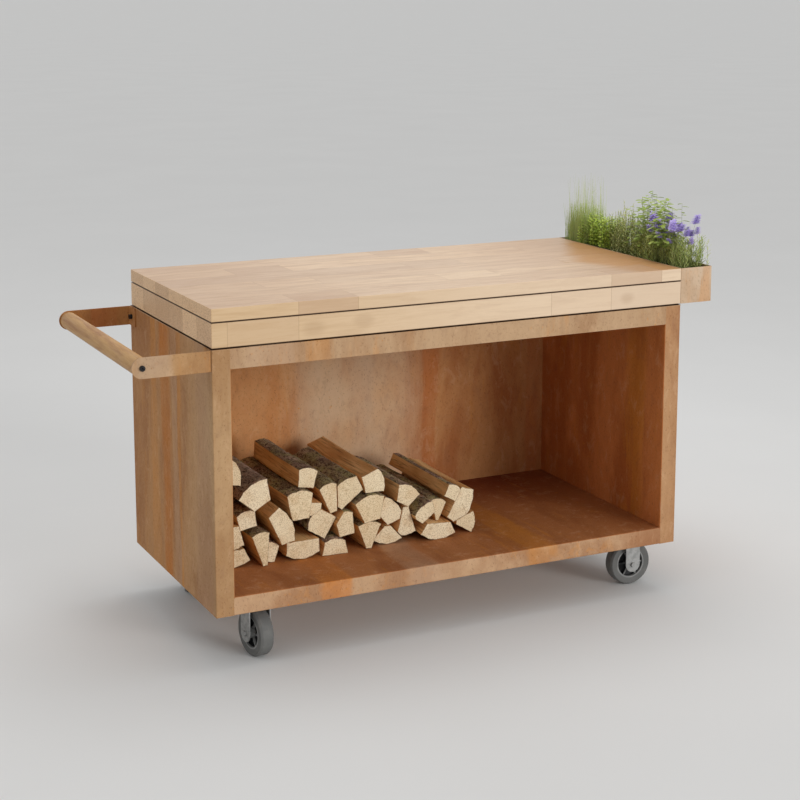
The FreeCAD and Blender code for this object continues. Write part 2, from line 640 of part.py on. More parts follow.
def castor_shape_plate():
    """Top plate with its bolt holes and the upper race, swivel axis on Z."""
    top = CASTOR_HEIGHT
    under = top - PLATE_THICKNESS
    plate = block((-PLATE_LENGTH / 2, -PLATE_WIDTH / 2, under), (PLATE_LENGTH / 2, PLATE_WIDTH / 2, top))
    plate = plate.makeFillet(PLATE_CORNER, edges_along(plate, AXIS_Z))
    race = rod(RACE_RADIUS, (0, 0, under - RACE_HEIGHT), (0, 0, under))
    pocket = rod(RACE_RADIUS - RACE_SKIRT, (0, 0, under - RACE_HEIGHT), (0, 0, under - RACE_SKIRT))
    plate = plate.fuse(race.cut(pocket)).removeSplitter()
    holes = [rod(M8_RADIUS + M8_CLEARANCE, (x, y, under - 1), (x, y, top + 1))
             for x, y in plate_hole_places((0, 0))]
    holes.append(rod(KINGPIN_RADIUS, (0, 0, under - RACE_SKIRT), (0, 0, top)))
    return plate.cut(holes).Solids[0]


def fork_crown_top():
    """Level of the fork's crown, just under the race skirt."""
    return CASTOR_HEIGHT - PLATE_THICKNESS - RACE_HEIGHT - RACE_GAP


def castor_shape_kingpin():
    """Kingpin riveted to the plate; the fork turns on it above its head."""
    crown_under = fork_crown_top() - FORK_SHEET
    head_top = crown_under - KINGPIN_PLAY
    pin = rod(KINGPIN_RADIUS, (0, 0, head_top - KINGPIN_HEAD_HEIGHT), (0, 0, CASTOR_HEIGHT))
    head = rod(KINGPIN_HEAD_RADIUS, (0, 0, head_top - KINGPIN_HEAD_HEIGHT), (0, 0, head_top))
    return pin.fuse(head).removeSplitter().Solids[0]


def castor_shape_fork():
    """Pressed fork: crown, inner race and two legs down to the axle, wheel side on +X."""
    crown_top = fork_crown_top()
    crown_under = crown_top - FORK_SHEET
    inside = WHEEL_WIDTH / 2 + FORK_SIDE_GAP
    outside = inside + FORK_SHEET
    half_leg = FORK_LEG_WIDTH / 2
    leg_back = CASTOR_TRAIL + half_leg
    leg_front = CASTOR_TRAIL - half_leg
    knee = WHEEL_RADIUS + FORK_KNEE_RISE
    bow = half_leg * math.sqrt(0.5)
    crown = rod(FORK_CROWN_RADIUS, (0, 0, crown_under), (0, 0, crown_top))
    crown = crown.common(block((-FORK_CROWN_RADIUS, -outside, crown_under),
                               (FORK_CROWN_RADIUS, outside, crown_top)))
    crown = crown.fuse(block((0, -outside, crown_under), (leg_back - half_leg / 2, outside, crown_top)))
    front_top = -FORK_LEG_START
    edges = [
        Part.makeLine(Vector(front_top, 0, crown_top), Vector(leg_front, 0, knee)),
        Part.makeLine(Vector(leg_front, 0, knee), Vector(leg_front, 0, WHEEL_RADIUS)),
        Part.Arc(Vector(leg_front, 0, WHEEL_RADIUS), Vector(CASTOR_TRAIL, 0, WHEEL_RADIUS - half_leg),
                 Vector(leg_back, 0, WHEEL_RADIUS)).toShape(),
        Part.makeLine(Vector(leg_back, 0, WHEEL_RADIUS), Vector(leg_back, 0, crown_top - half_leg)),
        Part.Arc(Vector(leg_back, 0, crown_top - half_leg),
                 Vector(leg_back - half_leg + bow, 0, crown_top - half_leg + bow),
                 Vector(leg_back - half_leg, 0, crown_top)).toShape(),
        Part.makeLine(Vector(leg_back - half_leg, 0, crown_top), Vector(front_top, 0, crown_top)),
    ]
    leg_face = Part.Face(Part.Wire(edges))
    legs = []
    for start in (-outside, inside):
        leg = leg_face.copy()
        leg.translate(Vector(0, start, 0))
        legs.append(leg.extrude(Vector(0, FORK_SHEET, 0)))
    race_top = CASTOR_HEIGHT - PLATE_THICKNESS - RACE_SKIRT - RACE_GAP
    race = rod(INNER_RACE_RADIUS, (0, 0, crown_top), (0, 0, race_top))
    fork = crown.fuse(legs + [race])
    fork = fork.cut([rod(KINGPIN_RADIUS + KINGPIN_PLAY, (0, 0, crown_under - 1), (0, 0, race_top + 1)),
                     rod(M8_RADIUS + M8_CLEARANCE, (CASTOR_TRAIL, -outside - 1, WHEEL_RADIUS),
                         (CASTOR_TRAIL, outside + 1, WHEEL_RADIUS))])
    return fork.removeSplitter().Solids[0]


def castor_shape_axle():
    """Axle bolt with its sleeve between the legs and its nut."""
    inside = WHEEL_WIDTH / 2 + FORK_SIDE_GAP
    outside = inside + FORK_SHEET
    shank = 2 * outside + NUT_HEIGHT + THREAD_STANDOUT
    bolt = hex_bolt((CASTOR_TRAIL, -outside, WHEEL_RADIUS), AXIS_Y, shank)
    start, end = (CASTOR_TRAIL, -inside, WHEEL_RADIUS), (CASTOR_TRAIL, inside, WHEEL_RADIUS)
    sleeve = rod(AXLE_SLEEVE_RADIUS, start, end).cut(rod(M8_RADIUS + M8_THREAD_CLEARANCE, start, end))
    return [bolt, sleeve.Solids[0], hex_nut((CASTOR_TRAIL, outside, WHEEL_RADIUS), AXIS_Y)]


def wheel_ring(outer, inner, width):
    """A ring about the axle, centred on the wheel."""
    start, end = (CASTOR_TRAIL, -width / 2, WHEEL_RADIUS), (CASTOR_TRAIL, width / 2, WHEEL_RADIUS)
    return rod(outer, start, end).cut(rod(inner, start, end))


def castor_shape_core():
    """Wheel centre: rim, web, spokes on both sides and a bored hub."""
    rim_outer = WHEEL_RADIUS - TYRE_THICKNESS
    rim_inner = rim_outer - RIM_THICKNESS
    bore = AXLE_SLEEVE_RADIUS + AXLE_PLAY
    hub_width = WHEEL_WIDTH + 2 * FORK_SIDE_GAP - 2 * HUB_SIDE_GAP
    reach = rim_inner + RIM_THICKNESS / 2
    pieces = [wheel_ring(reach, bore, WEB_THICKNESS), wheel_ring(HUB_RADIUS, bore, hub_width)]
    for index in range(SPOKE_COUNT):
        spoke = block((HUB_RADIUS - SPOKE_ROOT, -SPOKE_WIDTH / 2, -SPOKE_THICKNESS / 2),
                      (reach, SPOKE_WIDTH / 2, SPOKE_THICKNESS / 2))
        spoke.rotate(Vector(0, 0, 0), AXIS_Y, index * 360.0 / SPOKE_COUNT)
        spoke.translate(Vector(CASTOR_TRAIL, 0, WHEEL_RADIUS))
        pieces.append(spoke)
    return wheel_ring(rim_outer, rim_inner, RIM_WIDTH).fuse(pieces).removeSplitter().Solids[0]


def castor_shape_tyre():
    """Tyre turned about the axle: flat tread, bevelled shoulders and walls that lean in to the rim."""
    rim = WHEEL_RADIUS - TYRE_THICKNESS
    half = WHEEL_WIDTH / 2
    side = [
        (half - TYRE_WALL_LEAN, rim), (half, WHEEL_RADIUS - TYRE_SHOULDER_HEIGHT),
        (half - TYRE_SHOULDER_WIDTH, WHEEL_RADIUS),
    ]
    section = side + [(-across, radius) for across, radius in reversed(side)]
    face = outline_face([(CASTOR_TRAIL, across, WHEEL_RADIUS + radius) for across, radius in section])
    tyre = face.revolve(Vector(CASTOR_TRAIL, 0, WHEEL_RADIUS), AXIS_Y, 360)
    shoulders = [edge for edge in tyre.Edges
                 if isinstance(edge.Curve, Part.Circle) and edge.Curve.Radius > rim + TYRE_EDGE]
    return Part.Solid(tyre).makeFillet(TYRE_EDGE, shoulders).Solids[0]


def make_castors():
    """The four castors: fixed plates and kingpins, forks turned to their headings, wheels."""
    plate_shape = castor_shape_plate()
    kingpin_shape = castor_shape_kingpin()
    turning = {
        "fork": [castor_shape_fork()],
        "axle": castor_shape_axle(),
        "wheel_core": [castor_shape_core()],
        "wheel_tyre": [castor_shape_tyre()],
    }
    kingpins = []
    bolts = []
    nuts = []
    for corner, (x, y) in castor_places().items():
        at_place = Vector(x, y, 0)
        save("castor_plate_" + corner, [plate_shape.translated(at_place)])
        kingpins.append(kingpin_shape.translated(at_place))
        for name, shapes in turning.items():
            turned = []
            for shape in shapes:
                copy = shape.copy()
                copy.rotate(Vector(0, 0, 0), AXIS_Z, CASTOR_HEADINGS[corner])
                copy.translate(at_place)
                turned.append(copy)
            save("castor_%s_%s" % (name, corner), turned)
        grip = PLATE_THICKNESS + CHANNEL_SHEET
        for hole_x, hole_y in plate_hole_places((x, y)):
            seat = (hole_x, hole_y, CASTOR_HEIGHT - PLATE_THICKNESS)
            bolts.append(hex_bolt(seat, AXIS_Z, grip + NUT_HEIGHT + THREAD_STANDOUT))
            nuts.append(hex_nut((hole_x, hole_y, CHANNEL_BOTTOM + CHANNEL_SHEET), AXIS_Z))
    save("castor_kingpins", kingpins)
    save("castor_bolts", bolts)
    save("castor_nuts", nuts)


def wedge(x, z, bark, tip, depth, turn):
    """Outline of a split log, anticlockwise: a curved bark side, two flat sides and a blunt tip."""
    bulge = BARK_BULGE * bark
    radius = (bark ** 2 / 4 + bulge ** 2) / (2 * bulge)
    half_angle = math.asin(bark / (2 * radius))
    local = [(-depth / 2, tip / 2), (-depth / 2, -tip / 2)]
    for step in range(BARK_STEPS + 1):
        angle = half_angle * (2 * step / BARK_STEPS - 1)
        local.append((depth / 2 - radius + radius * math.cos(angle), radius * math.sin(angle)))
    cosine, sine = math.cos(math.radians(turn)), math.sin(math.radians(turn))
    turned = [(u * cosine - v * sine, u * sine + v * cosine) for u, v in local]
    xs, zs = zip(*turned)
    shift_x = LEFT + STILE_WIDTH + x - (min(xs) + max(xs)) / 2
    shift_z = STORE_FLOOR + z - (min(zs) + max(zs)) / 2
    return [(px + shift_x, pz + shift_z) for px, pz in turned]


def sides(outline):
    """Outward normal and reach of each straight side of an outline that runs anticlockwise."""
    found = []
    for (x0, z0), (x1, z1) in zip(outline, outline[1:] + outline[:1]):
        length = math.hypot(x1 - x0, z1 - z0)
        if length > 0:
            normal = ((z1 - z0) / length, (x0 - x1) / length)
            found.append((x0 * normal[0] + z0 * normal[1], normal))
    return found


def nearest(outline, normal):
    """How far along a direction an outline begins."""
    return min(x * normal[0] + z * normal[1] for x, z in outline)


def clip(outline, normal, limit):
    """The part of an outline at or beyond a limit along a direction."""
    kept = []
    for (x0, z0), (x1, z1) in zip(outline, outline[1:] + outline[:1]):
        beyond0 = x0 * normal[0] + z0 * normal[1] - limit
        beyond1 = x1 * normal[0] + z1 * normal[1] - limit
        if beyond0 >= 0:
            kept.append((x0, z0))
        if beyond0 * beyond1 < 0:
            share = beyond0 / (beyond0 - beyond1)
            kept.append((x0 + share * (x1 - x0), z0 + share * (z1 - z0)))
    return kept


def trim(outline, other):
    """Cut a log back to the side of another that it reaches into least, if they overlap."""
    if any(nearest(other, normal) >= limit for limit, normal in sides(outline)):
        return outline
    room, limit, normal = max((nearest(outline, normal) - limit, limit, normal)
                              for limit, normal in sides(other))
    return outline if room >= LOG_GAP else clip(outline, normal, limit + LOG_GAP)


def level(outline, x, pick):
    """Height of an outline's lowest or highest point at a distance x, if it reaches there."""
    heights = [z0 + (z1 - z0) * (x - x0) / (x1 - x0)
               for (x0, z0), (x1, z1) in zip(outline, outline[1:] + outline[:1])
               if x0 != x1 and min(x0, x1) <= x <= max(x0, x1)]
    return pick(heights) if heights else None


def settle(outline, stack):
    """Lower a log until it rests on the floor or on a log under it."""
    room = min(z for x, z in outline) - STORE_FLOOR - LOG_FLOOR_GAP
    for other in stack:
        for x, _ in outline + other:
            bottom, top = level(outline, x, min), level(other, x, max)
            if bottom is not None and top is not None and top <= bottom:
                room = min(room, bottom - top - LOG_GAP)
    return [(x, z - room) for x, z in outline]


def make_logs():
    """Split logs laid one by one: trimmed to those already there, then lowered onto them."""
    wall = LEFT + STILE_WIDTH + LOG_GAP
    stack = []
    for row_number, row in enumerate(LOG_ROWS, 1):
        solids = []
        for *sizes, turn in row:
            outline = clip(wedge(*[size * LOG_UNIT for size in sizes], turn), (1, 0), wall)
            outline = clip(outline, (0, 1), STORE_FLOOR + LOG_FLOOR_GAP)
            for other in stack:
                outline = trim(outline, other)
            outline = settle(outline, stack)
            stack.append(outline)
            start = LOG_FRONT + LOG_STAGGER * math.sin(LOG_STAGGER_TURN * len(stack))
            length = LOG_LENGTH + LOG_LENGTH_SPREAD * math.sin(LOG_LENGTH_TURN * len(stack))
            face = outline_face([(x, start, z) for x, z in outline])
            solids.append(face.extrude(Vector(0, length, 0)).Solids[0])
        save("log_row_%d" % row_number, solids)


os.makedirs("parts", exist_ok=True)
make_side_walls()
make_top_panel()
make_base_panel()
make_back_panel()
make_top_ribs()
make_castor_channels()
make_boards()
make_handle()
make_planter()
make_plants()
make_castors()
make_logs()
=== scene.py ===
# %% [markdown]
# # A rolling worktable of weathered steel
# The object is an outdoor worktable: an open store of folded weathering steel with firewood in it, two
# thick hardwood boards on top, a round wooden push handle on the left, a planted trough on the right and
# four castors. Its construction comes as a finished frame from the CAD model, already in metres and in
# place. This lesson dresses that frame: it gives every steel, wooden and rubber piece its finish, and it
# replaces the plain solids of the soil, the plants and the split logs by detailed ones.

# %% Load the frame
import math
import bmesh
import bpy
from mathutils import Euler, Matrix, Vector, noise


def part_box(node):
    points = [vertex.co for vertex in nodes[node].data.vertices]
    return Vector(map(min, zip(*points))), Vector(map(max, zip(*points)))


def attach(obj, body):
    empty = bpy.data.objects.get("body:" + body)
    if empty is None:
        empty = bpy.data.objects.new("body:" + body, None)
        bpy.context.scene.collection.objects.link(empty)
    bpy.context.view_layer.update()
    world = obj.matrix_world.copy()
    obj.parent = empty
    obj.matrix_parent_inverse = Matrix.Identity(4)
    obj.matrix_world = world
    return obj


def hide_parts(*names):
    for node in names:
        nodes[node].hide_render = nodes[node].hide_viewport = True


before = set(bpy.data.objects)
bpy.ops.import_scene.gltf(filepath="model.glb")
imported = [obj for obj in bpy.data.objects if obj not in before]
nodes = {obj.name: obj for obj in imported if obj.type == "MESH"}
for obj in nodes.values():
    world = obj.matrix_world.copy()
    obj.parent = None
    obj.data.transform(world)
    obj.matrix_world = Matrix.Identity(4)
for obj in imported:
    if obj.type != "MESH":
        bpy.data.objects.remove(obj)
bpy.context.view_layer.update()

# %% [markdown]
# ## Floor, light and camera
# The floor is one large pale sheet, so that the table stands on something and drops its shadow there. Light
# could come from a picture of a real place, but then the colours would depend on that picture. Here a plain
# white sky gives every side about half of its light, and one broad sun from the front right gives the rest:
# it makes the left end darker than the front and leaves the right inner wall of the store in shade. A sun
# lights the whole floor evenly, where a near lamp would burn it out below itself.

# %% A pale floor
FLOOR_HALF = 300.0


def new_object(name, mesh):
    """Put a mesh into the scene as an object at the origin."""
    obj = bpy.data.objects.new(name, mesh)
    bpy.context.scene.collection.objects.link(obj)
    return obj


def rectangle(name, low, high, level):
    """A mesh of one level face between two corners."""
    mesh = bpy.data.meshes.new(name)
    corners = [(low[0], low[1]), (high[0], low[1]), (high[0], high[1]), (low[0], high[1])]
    mesh.from_pydata([(x, y, level) for x, y in corners], [], [(0, 1, 2, 3)])
    return mesh


floor = new_object("floor", rectangle("floor", (-FLOOR_HALF, -FLOOR_HALF), (FLOOR_HALF, FLOOR_HALF), 0))
print("floor:", 2 * FLOOR_HALF, "m wide")

# %% [markdown]
# A material or a world is a small network of nodes. Most of the code below adds a node, fills in its
# numbers and links its outputs to the next one, so one helper does all three. Short names for the commonest
# steps keep the networks readable. Colours are written as a picture program gives them, from 0 to 255, and
# turned into the linear numbers that Blender calculates with.

# %% Helpers for networks of nodes
def add(kind, inputs=None, tree=None, **settings):
    """Add a node to a network, set its options, and give its inputs a value or another node's output. A node
    with such an output among its inputs finds the network by itself."""
    inputs = inputs or {}
    if tree is None:
        tree = next(value.id_data for value in inputs.values() if isinstance(value, bpy.types.NodeSocket))
    node = tree.nodes.new(kind)
    for option, value in settings.items():
        setattr(node, option, value)
    for key, value in inputs.items():
        if isinstance(value, bpy.types.NodeSocket):
            tree.links.new(value, node.inputs[key])
        else:
            node.inputs[key].default_value = value
    return node


def calc(operation, first, second=0.0):
    """One step of arithmetic on numbers or sockets."""
    return add("ShaderNodeMath", {0: first, 1: second}, operation=operation).outputs[0]


def plus(first, second):
    """The sum of two numbers or sockets."""
    return calc("ADD", first, second)


def minus(first, second):
    """The first number or socket less the second."""
    return calc("SUBTRACT", first, second)


def times(first, second):
    """The product of two numbers or sockets."""
    return calc("MULTIPLY", first, second)


def size_of(value):
    """A number without its sign."""
    return calc("ABSOLUTE", value)


def vector_calc(operation, first, second=(0.0, 0.0, 0.0)):
    """One step of arithmetic on vectors; returns its outputs, Vector and Value."""
    return add("ShaderNodeVectorMath", {0: first, 1: second}, operation=operation).outputs


def axes_of(vector):
    """The X, Y and Z of a vector."""
    return add("ShaderNodeSeparateXYZ", {0: vector}).outputs


def vector_of(x, y, z):
    """A vector from its three numbers."""
    return add("ShaderNodeCombineXYZ", {0: x, 1: y, 2: z}).outputs[0]


def paint(red, green, blue):
    """A picture program's colour as linear red, green, blue and alpha."""
    shares = [value / 255 for value in (red, green, blue)]
    return [s / 12.92 if s <= 0.04045 else ((s + 0.055) / 1.055) ** 2.4 for s in shares] + [1.0]


print("a middle grey of 128 is", round(paint(128, 128, 128)[0], 3), "in linear light")

# %% Sky and lamps
SKY_LIGHT = 0.58
SEEN_BACKGROUND = 0.92
FRONT_SUN = {"place": (3.2, -7.4, 2.3), "target": (0.0, 0.0, 0.5), "angle": math.radians(24.0),
             "energy": 1.34}
TOP_LAMP = {"place": (0.6, 0.4, 4.2), "target": (0.0, 0.0, 0.9), "size": 2.5, "energy": 45.0}

world = bpy.data.worlds.new("studio")
world.use_nodes = True
world.node_tree.nodes.clear()
sky = world.node_tree
path = add("ShaderNodeLightPath", tree=sky).outputs
seen = calc("MAXIMUM", path["Is Camera Ray"], path["Is Glossy Ray"])
seen = calc("MAXIMUM", seen, path["Is Transmission Ray"])
lighting = add("ShaderNodeBackground", {"Color": (1.0, 1.0, 1.0, 1.0), "Strength": SKY_LIGHT}, sky)
backdrop = add("ShaderNodeBackground", {"Color": (SEEN_BACKGROUND,) * 3 + (1.0,), "Strength": 1.0}, sky)
chosen = add("ShaderNodeMixShader", {0: seen, 1: lighting.outputs[0], 2: backdrop.outputs[0]})
add("ShaderNodeOutputWorld", {"Surface": chosen.outputs[0]})
bpy.context.scene.world = world
bpy.context.scene.view_settings.view_transform = "Standard"


def hang_lamp(name, kind, place, target, **settings):
    """Put a lamp at its place and let it look at a point. The angle of a sun is how wide its disc is, and a
    wide one gives soft shadows."""
    data = bpy.data.lights.new(name, kind)
    for option, value in settings.items():
        setattr(data, option, value)
    lamp = bpy.data.objects.new(name, data)
    lamp.location = place
    lamp.rotation_euler = (Vector(target) - Vector(place)).to_track_quat("-Z", "Y").to_euler()
    bpy.context.scene.collection.objects.link(lamp)


hang_lamp("front_sun", "SUN", **FRONT_SUN)
hang_lamp("top_lamp", "AREA", **TOP_LAMP)
print("sun:", FRONT_SUN["energy"], "W per square metre; top lamp:", TOP_LAMP["energy"], "W")

# %% [markdown]
# The photograph was taken from the front left, a little above the top, with upright lines kept nearly
# upright. A lens that is shifted down does that, and so the camera dips less than it would without the
# shift.

# %% The camera
CAMERA_PLACE = (-2.0167, -4.1141, 1.6749)
CAMERA_TURN = 25.922
CAMERA_DIP = 9.834
LENS = 77.07
LENS_SHIFT = -0.15

camera_data = bpy.data.cameras.new("camera")
camera_data.lens = LENS
camera_data.shift_y = LENS_SHIFT
camera = bpy.data.objects.new("camera", camera_data)
camera.location = CAMERA_PLACE
camera.rotation_euler = Euler((math.radians(90 - CAMERA_DIP), 0.0, math.radians(-CAMERA_TURN)))
bpy.context.scene.collection.objects.link(camera)
bpy.context.scene.camera = camera
print("camera:", round(Vector(CAMERA_PLACE).length, 2), "m from the origin")

# %% [markdown]
# ## Finishes
# Every finish reads Object coordinates: the pieces all sit at the origin with their places in their meshes,
# so the coordinates are simply metres in the room, and a grain of one millimetre is one millimetre on every
# piece. Patterns made of calculated noise, not pictures, stay sharp at any distance and wrap round every
# edge. A noise is written as its scale per metre, its detail, its roughness and how much it is distorted. A
# layer of tone is written as the value where it starts, the value where it is full, its strength and its
# tone. A coat is the stretch of its coordinates along X, Y and Z, its noise, and the layers that follow
# that noise.

# %% Helpers for finishes
GRAIN_LOW = 0.3
GRAIN_HIGH = 0.7
EVEN = (1.0, 1.0, 1.0)


def start_material(name):
    """A new material with an empty network; returns it and its Object coordinates."""
    material = bpy.data.materials.new(name)
    material.use_nodes = True
    material.node_tree.nodes.clear()
    return material, add("ShaderNodeTexCoord", tree=material.node_tree).outputs["Object"]


def facing(material):
    """The X, Y and Z of the direction that a surface faces."""
    return axes_of(add("ShaderNodeNewGeometry", tree=material.node_tree).outputs["Normal"])


def stored(material, name, output="Fac"):
    """A value that is stored on the mesh."""
    return add("ShaderNodeAttribute", tree=material.node_tree, attribute_name=name).outputs[output]


def stretched(place, scale, shift=(0.0, 0.0, 0.0)):
    """The coordinates stretched along the axes and moved, so that a noise turns into grain or streaks."""
    return add("ShaderNodeMapping", {"Vector": place, "Scale": scale, "Location": shift}).outputs[0]


def cloud(place, scale, detail=4.0, roughness=0.55, distortion=0.0):
    """Soft calculated noise between 0 and 1."""
    settings = {"Vector": place, "Scale": scale, "Detail": detail, "Roughness": roughness,
                "Distortion": distortion}
    return add("ShaderNodeTexNoise", settings).outputs["Fac"]


def between(value, low, high, out_low=0.0, out_high=1.0):
    """A soft step: out_low at the low value and beyond it, out_high at the high value and beyond it."""
    settings = {"Value": value, "From Min": low, "From Max": high, "To Min": out_low, "To Max": out_high}
    return add("ShaderNodeMapRange", settings, interpolation_type="SMOOTHSTEP").outputs["Result"]


def blend(share, first, second):
    """Mix two colours."""
    return add("ShaderNodeMix", {0: share, 6: first, 7: second}, data_type="RGBA").outputs[2]


def veil(colour, value, start, full, strength, tone):
    """Lay a tone over a colour: none of it at a value's start, and the whole strength where it is full."""
    return blend(between(value, start, full, 0.0, strength), colour, tone)


def coat(colour, place, stretch, settings, *layers):
    """Lay tones over a colour by one noise; returns the colour and the noise."""
    value = cloud(stretched(place, stretch), *settings)
    for layer in layers:
        colour = veil(colour, value, *layer)
    return colour, value


def finished(material, colour, grain, rough, bump=None, height=None, **constants):
    """Close a material's network with a Principled surface and return it. rough is its roughness where the
    grain is low and where it is high. bump is the strength, and the depth in metres, of the relief that the
    grain or a height gives."""
    roughness = between(grain, GRAIN_LOW, GRAIN_HIGH, *rough)
    values = {"Base Color": colour, "Roughness": roughness}
    values.update({key.replace("_", " "): value for key, value in constants.items()})
    if bump:
        strength, depth = bump
        relief = {"Strength": strength, "Distance": depth, "Height": grain if height is None else height}
        values["Normal"] = add("ShaderNodeBump", relief).outputs["Normal"]
    surface = add("ShaderNodeBsdfPrincipled", values)
    add("ShaderNodeOutputMaterial", {"Surface": surface.outputs[0]})
    return material


def dress(material, *names):
    """Give CAD pieces their finish."""
    for name in names:
        for place in nodes[name].material_slots:
            place.material = material
    print(material.name, "on", ", ".join(names))


print("helpers for finishes are ready")

# %% [markdown]
# ### Weathering steel
# This steel is left to rust once and then keeps that skin. Up close it is a tan to brown ground with a fine
# dark speckle, and where rain has run down there are orange streaks. One function makes every steel panel:
# two brown tones in soft patches, many thin streaks, and a few wide runs whose places are read off the real
# panels. Each panel gets its own shift of the noise, so that the pattern breaks at the seams as it does
# between real sheets.

# %% Tones, noises and soft steps of the steel
STEEL_TAN = paint(190, 152, 116)
STEEL_BROWN = paint(168, 124, 88)
STEEL_ORANGE = paint(206, 132, 40)
STEEL_RED = paint(176, 98, 50)
STEEL_GREY = paint(196, 164, 134)
STEEL_DARK = paint(92, 52, 30)
STEEL_PLUM = paint(122, 84, 66)
STEEL_PALE = paint(222, 184, 146)
STORE_TAN = paint(190, 122, 66)
STORE_BROWN = paint(164, 98, 46)

FLOW_STRETCH = 0.12
COLUMN_STRETCH = 0.28
PATCH_NOISE = (7.0, 6.0, 0.62, 0.4)
PATCH_STEP = (0.38, 0.62)
FACING_STEP = (0.4, 0.6)
DRIFT_NOISE = (7.0, 3.0)
THREAD_NOISE = (30.0, 5.0, 0.6, 0.6)
THREAD_STEP = (0.5, 0.72)
THREAD_DRIFT = (0.4, 0.65)
WOBBLE_NOISE = (16.0, 5.0, 0.65)
RUN_EDGE = 0.35
RUN_WOBBLE = 0.12
RUN_DRIFT = (0.3, 0.6, 0.45, 1.0)
SPOT_NOISE = (90.0, 4.0, 0.7)
SPOT_STEP = (0.60, 0.70)
SPOT_DRIFT = (0.5, 0.62)
SPOT_STRENGTH = 0.6
SCALE_NOISE = (34.0, 7.0, 0.72, 0.5)
SCALE_DARK = (0.50, 0.70, 0.2, STEEL_PLUM)
SCALE_PALE = (0.48, 0.32, 0.2, STEEL_PALE)
SPECKLE_NOISE = (260.0, 3.0, 0.7)
SPECKLE = (0.56, 0.74, 0.5, STEEL_DARK)
print("the steel's ground in linear light:", [round(v, 2) for v in STEEL_TAN[:3]], "to",
      [round(v, 2) for v in STEEL_BROWN[:3]])


# %% A function for weathered steel
def rust_runs(colour, runs, along, drifts, marked):
    """Wide streaks, each with its place and half width in metres, its strength and its colour."""
    for run_place, half_width, strength, run_colour in runs:
        away = size_of(minus(along, run_place))
        share = between(away, (1 + RUN_EDGE) * half_width, (1 - RUN_EDGE) * half_width)
        share = times(share, between(drifts, *RUN_DRIFT))
        share = times(times(share, marked), strength)
        colour = blend(share, colour, run_colour)
    return colour


def weathered_steel(name, tan=STEEL_TAN, brown=STEEL_BROWN, across="X", runs=(), streaks=0.35, shift=0.0,
                    upright=True, lining=None, fade=None, painted_shade=None, marks_inside=False):
    """Rusted sheet, with runs whose places are counted along the across axis.
    lining is the axis and the way (+1 or -1) of the faces that line the store, with their two tones; these
    tones are partly painted light and shade.
    fade is an axis, the places where it starts and ends, and the two tones that the sheet fades to.
    The painted shade (the option after fade) darkens the sheet along an axis: its axis, the places where it
    starts and is full, and its colour.
    With marks_inside, the fading and the runs are on the lining alone."""
    material, place = start_material(name)
    axes = axes_of(place)
    moved = (shift, 0.7 * shift, 1.3 * shift)
    flow = (1.0, 1.0, FLOW_STRETCH) if upright else (1.0, FLOW_STRETCH, 1.0)
    columns = (1.0, 1.0, COLUMN_STRETCH) if upright else (1.0, COLUMN_STRETCH, 1.0)
    patches = cloud(stretched(place, columns, moved), *PATCH_NOISE)
    patches = between(patches, *PATCH_STEP)
    colour = blend(patches, tan, brown)
    marked = 1.0
    if lining:
        axis, way, inner_tan, inner_brown = lining
        inner = between(times(facing(material)[axis], way), *FACING_STEP)
        colour = blend(inner, colour, blend(patches, inner_tan, inner_brown))
        if marks_inside:
            marked = inner
    if fade:
        axis, start, end, far_tan, far_brown = fade
        share = times(between(axes[axis], start, end), marked)
        colour = blend(share, colour, blend(patches, far_tan, far_brown))
    # Painted shade: the sheet darkens along an axis.
    if painted_shade:
        axis, start, full, dark = painted_shade
        colour = veil(colour, axes[axis], start, full, 1.0, dark)
    drifts = cloud(stretched(place, (1.0, 1.0, 0.7), moved), *DRIFT_NOISE)
    threads = cloud(stretched(place, flow, moved), *THREAD_NOISE)
    threads = times(between(threads, *THREAD_STEP), between(drifts, *THREAD_DRIFT))
    colour = blend(times(threads, streaks), colour, STEEL_ORANGE)
    wobble = minus(cloud(stretched(place, flow), *WOBBLE_NOISE), 0.5)
    along = plus(axes[across], times(wobble, RUN_WOBBLE))
    colour = rust_runs(colour, runs, along, drifts, marked)
    spots = between(cloud(place, *SPOT_NOISE), *SPOT_STEP)
    spots = times(spots, between(drifts, *SPOT_DRIFT))
    colour = blend(times(spots, SPOT_STRENGTH), colour, STEEL_ORANGE)
    scale = cloud(stretched(place, (1.0, 1.0, 0.55), moved), *SCALE_NOISE)
    colour = veil(colour, scale, *SCALE_DARK)
    colour = veil(colour, scale, *SCALE_PALE)
    speckle = cloud(stretched(place, (1.0, 1.0, 0.6)), *SPECKLE_NOISE)
    colour = veil(colour, speckle, *SPECKLE)
    return finished(material, colour, speckle, (0.62, 0.85), (0.35, 0.0006), Specular_IOR_Level=0.28)


# %% [markdown]
# The two walls, the back, the top and the floor of the store each get their own tones and runs. The lining
# of the store is darker and more orange than the outside, partly as painted shade of the store's inside. The
# floor is painted darker towards the back as shade, and the top panel's upper face, which hides under the
# boards, is painted dark as shade.

# %% Steel on every folded panel
left_wall_runs = ((0.135, 0.03, 0.35, STEEL_ORANGE), (0.035, 0.034, 0.75, paint(184, 108, 26)),
                  (-0.04, 0.02, 0.3, STEEL_GREY), (-0.075, 0.012, 0.4, STEEL_ORANGE),
                  (-0.25, 0.05, 0.35, paint(170, 130, 104)))
# Painted shade: the left wall's lining is a darker, more orange copy of the steel.
dress(weathered_steel("steel_left_wall", tan=paint(183, 147, 106), brown=paint(165, 125, 84), across="Y",
                      shift=1.0, lining=("X", 1.0, STORE_TAN, STORE_BROWN), runs=left_wall_runs,
                      fade=("Y", -0.33, 0.0, paint(179, 130, 81), paint(159, 108, 62))), "left_wall")

right_wall_runs = ((-0.20, 0.036, 0.4, STEEL_ORANGE), (0.10, 0.02, 0.3, STEEL_RED))
